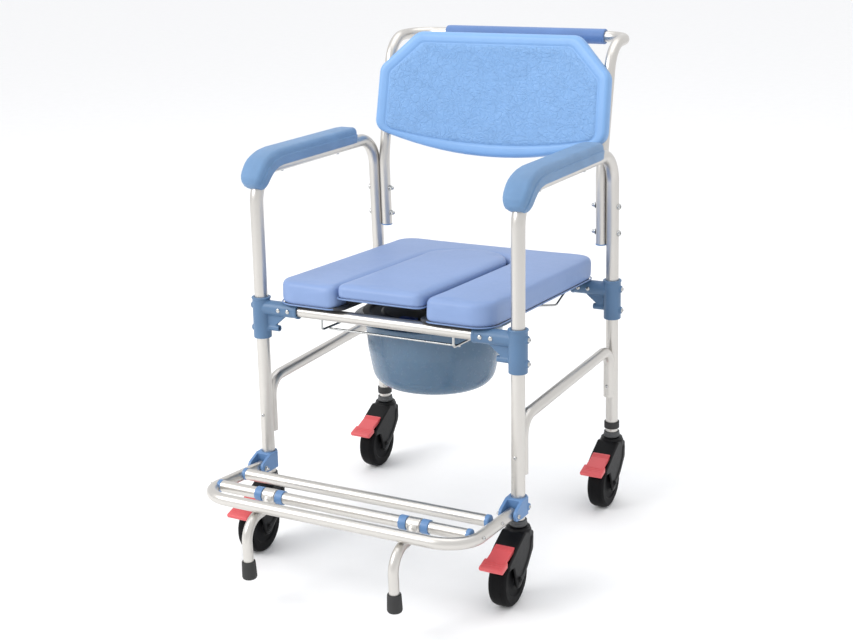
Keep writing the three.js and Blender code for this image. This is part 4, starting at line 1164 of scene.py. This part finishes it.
FORK = fork_mesh()
WHEEL = wheel_mesh()
PEDAL = pedal_mesh()
AXLE_HEAD = to_mesh(joined(
    lathe([(0, 0), (5.6, 0), (5.6, 1.6), (4.8, 2.8), (0, 3.2)], 32),
    prism([(2.4 * math.cos(math.pi * k / 3), 2.4 * math.sin(math.pi * k / 3)) for k in range(6)], 2.6, 3.9),
), 30)
INNER_LEG = to_mesh(tube([(0, 0, COLLAR_BOTTOM + 6), (0, 0, 262)], [], 10.6, 1.5, 32))
COLLAR_SKIRT = to_mesh(soft_lathe([
    (10.7, COLLAR_BOTTOM, 0.5), (15.2, COLLAR_BOTTOM, 1), (16.6, COLLAR_BOTTOM + 2.5, 1),
    (16.6, COLLAR_BOTTOM + 6, 0.8), (15.6, COLLAR_BOTTOM + 7, 0.6), (16.0, POST_END - 0.4, 1),
    (10.7, POST_END - 0.4, 0.5)], 48), 45)
CLIP_RING = to_mesh(soft_lathe([
    (POST_R + 0.1, 156, 0.3), (POST_R + 2.8, 156, 0.8), (POST_R + 2.8, 170, 0.8),
    (POST_R + 0.1, 170, 0.3)], 48), 45)
AXLE_HEAD.materials.append(MATERIALS["black"])

for side, sign in SIDES.items():
    piece(f"rear_{side}_clip_ring", CLIP_RING, "grey", "frame", at(sign * POST_X, REAR_Y, 0),
          [f"rear_{side}_height_clip"])

for end in ("front", "rear"):
    for side, sign in SIDES.items():
        corner = f"{end}_{side}"
        leg = leg_frame(end, sign)
        axle = leg @ at(0, -TRAIL, WHEEL_R)
        piece(f"{corner}_leg_tube", INNER_LEG, "tube", f"{corner}_leg", leg, [f"{corner}_inner_leg"])
        piece(f"{corner}_leg_collar", COLLAR_SKIRT, "collar", f"{corner}_leg", leg)
        piece(f"{corner}_fork_hood", FORK, "black", f"{corner}_caster", leg, [f"{corner}_caster_fork"])
        piece(f"{corner}_wheel_tyre", WHEEL, "tyre", f"{corner}_wheel", axle, [f"{corner}_caster_wheel"])
        piece(f"{corner}_pedal_plate", PEDAL, "pedal", f"{corner}_pedal", leg @ at(0, PEDAL_Y, PEDAL_Z),
              [f"{corner}_brake_pedal"])
        stood_for = [f"{corner}_caster_axle"]
        for label, way in (("outer", 1), ("inner", -1)):
            piece(f"{corner}_axle_{label}", AXLE_HEAD, "black", f"{corner}_caster",
                  axle @ at(way * (FORK_HALF + 1.0), 0, 0) @ facing((way, 0, 0)), stood_for)
            stood_for = []


# ------------ floor, lights and camera
def floor():
    bm = bmesh.new()
    bmesh.ops.create_grid(bm, x_segments=1, y_segments=1, size=40)
    mesh = bpy.data.meshes.new("floor")
    bm.to_mesh(mesh)
    bm.free()
    obj = scene_object("floor", mesh)
    mesh.materials.append(material("floor_paint", (0.95, 0.95, 0.95), 0.7, tint=0.01))


def softbox(name, position, target, size, power):
    data = bpy.data.lights.new(name, "AREA")
    data.shape = "RECTANGLE"
    data.size, data.size_y = size
    data.energy = power
    light = scene_object(name, data)
    light.location = position
    light.rotation_euler = (Vector(target) - Vector(position)).to_track_quat("-Z", "Y").to_euler()


def camera():
    """Camera on the sitter's left front, looking slightly down."""
    azimuth = math.radians(28.667)
    elevation = math.radians(17.427)
    roll = math.radians(-2.0096)
    focal_pixels = 1480.49
    image_width = 853
    right = Vector((math.cos(azimuth), math.sin(azimuth), 0))
    level = math.cos(elevation)
    back = Vector((math.sin(azimuth) * level, -math.cos(azimuth) * level, math.sin(elevation)))
    up = back.cross(right)
    x_axis = right * math.cos(roll) + up * math.sin(roll)
    y_axis = up * math.cos(roll) - right * math.sin(roll)
    rotation = Matrix((x_axis, y_axis, back)).transposed().to_4x4()
    data = bpy.data.cameras.new("camera")
    data.sensor_width = 36
    data.lens = focal_pixels / image_width * data.sensor_width
    data.clip_end = 200
    obj = scene_object("camera", data)
    obj.matrix_world = CHAIR @ at(1310.00, -2231.89, 1298.19) @ rotation
    bpy.context.scene.camera = obj


def world():
    background = bpy.data.worlds.new("studio")
    background.use_nodes = True
    shade = background.node_tree.nodes["Background"]
    shade.inputs["Color"].default_value = (0.98, 0.985, 1.0, 1)
    shade.inputs["Strength"].default_value = 1.0
    bpy.context.scene.world = background


floor()
softbox("key", (-2.2, -2.6, 2.8), (0, 0, 0.5), (2.4, 1.8), 85)
softbox("top", (0, 0.4, 3.4), (0, 0, 0.4), (3.0, 3.0), 30)
camera()
world()
bpy.context.scene.view_settings.view_transform = "Standard"
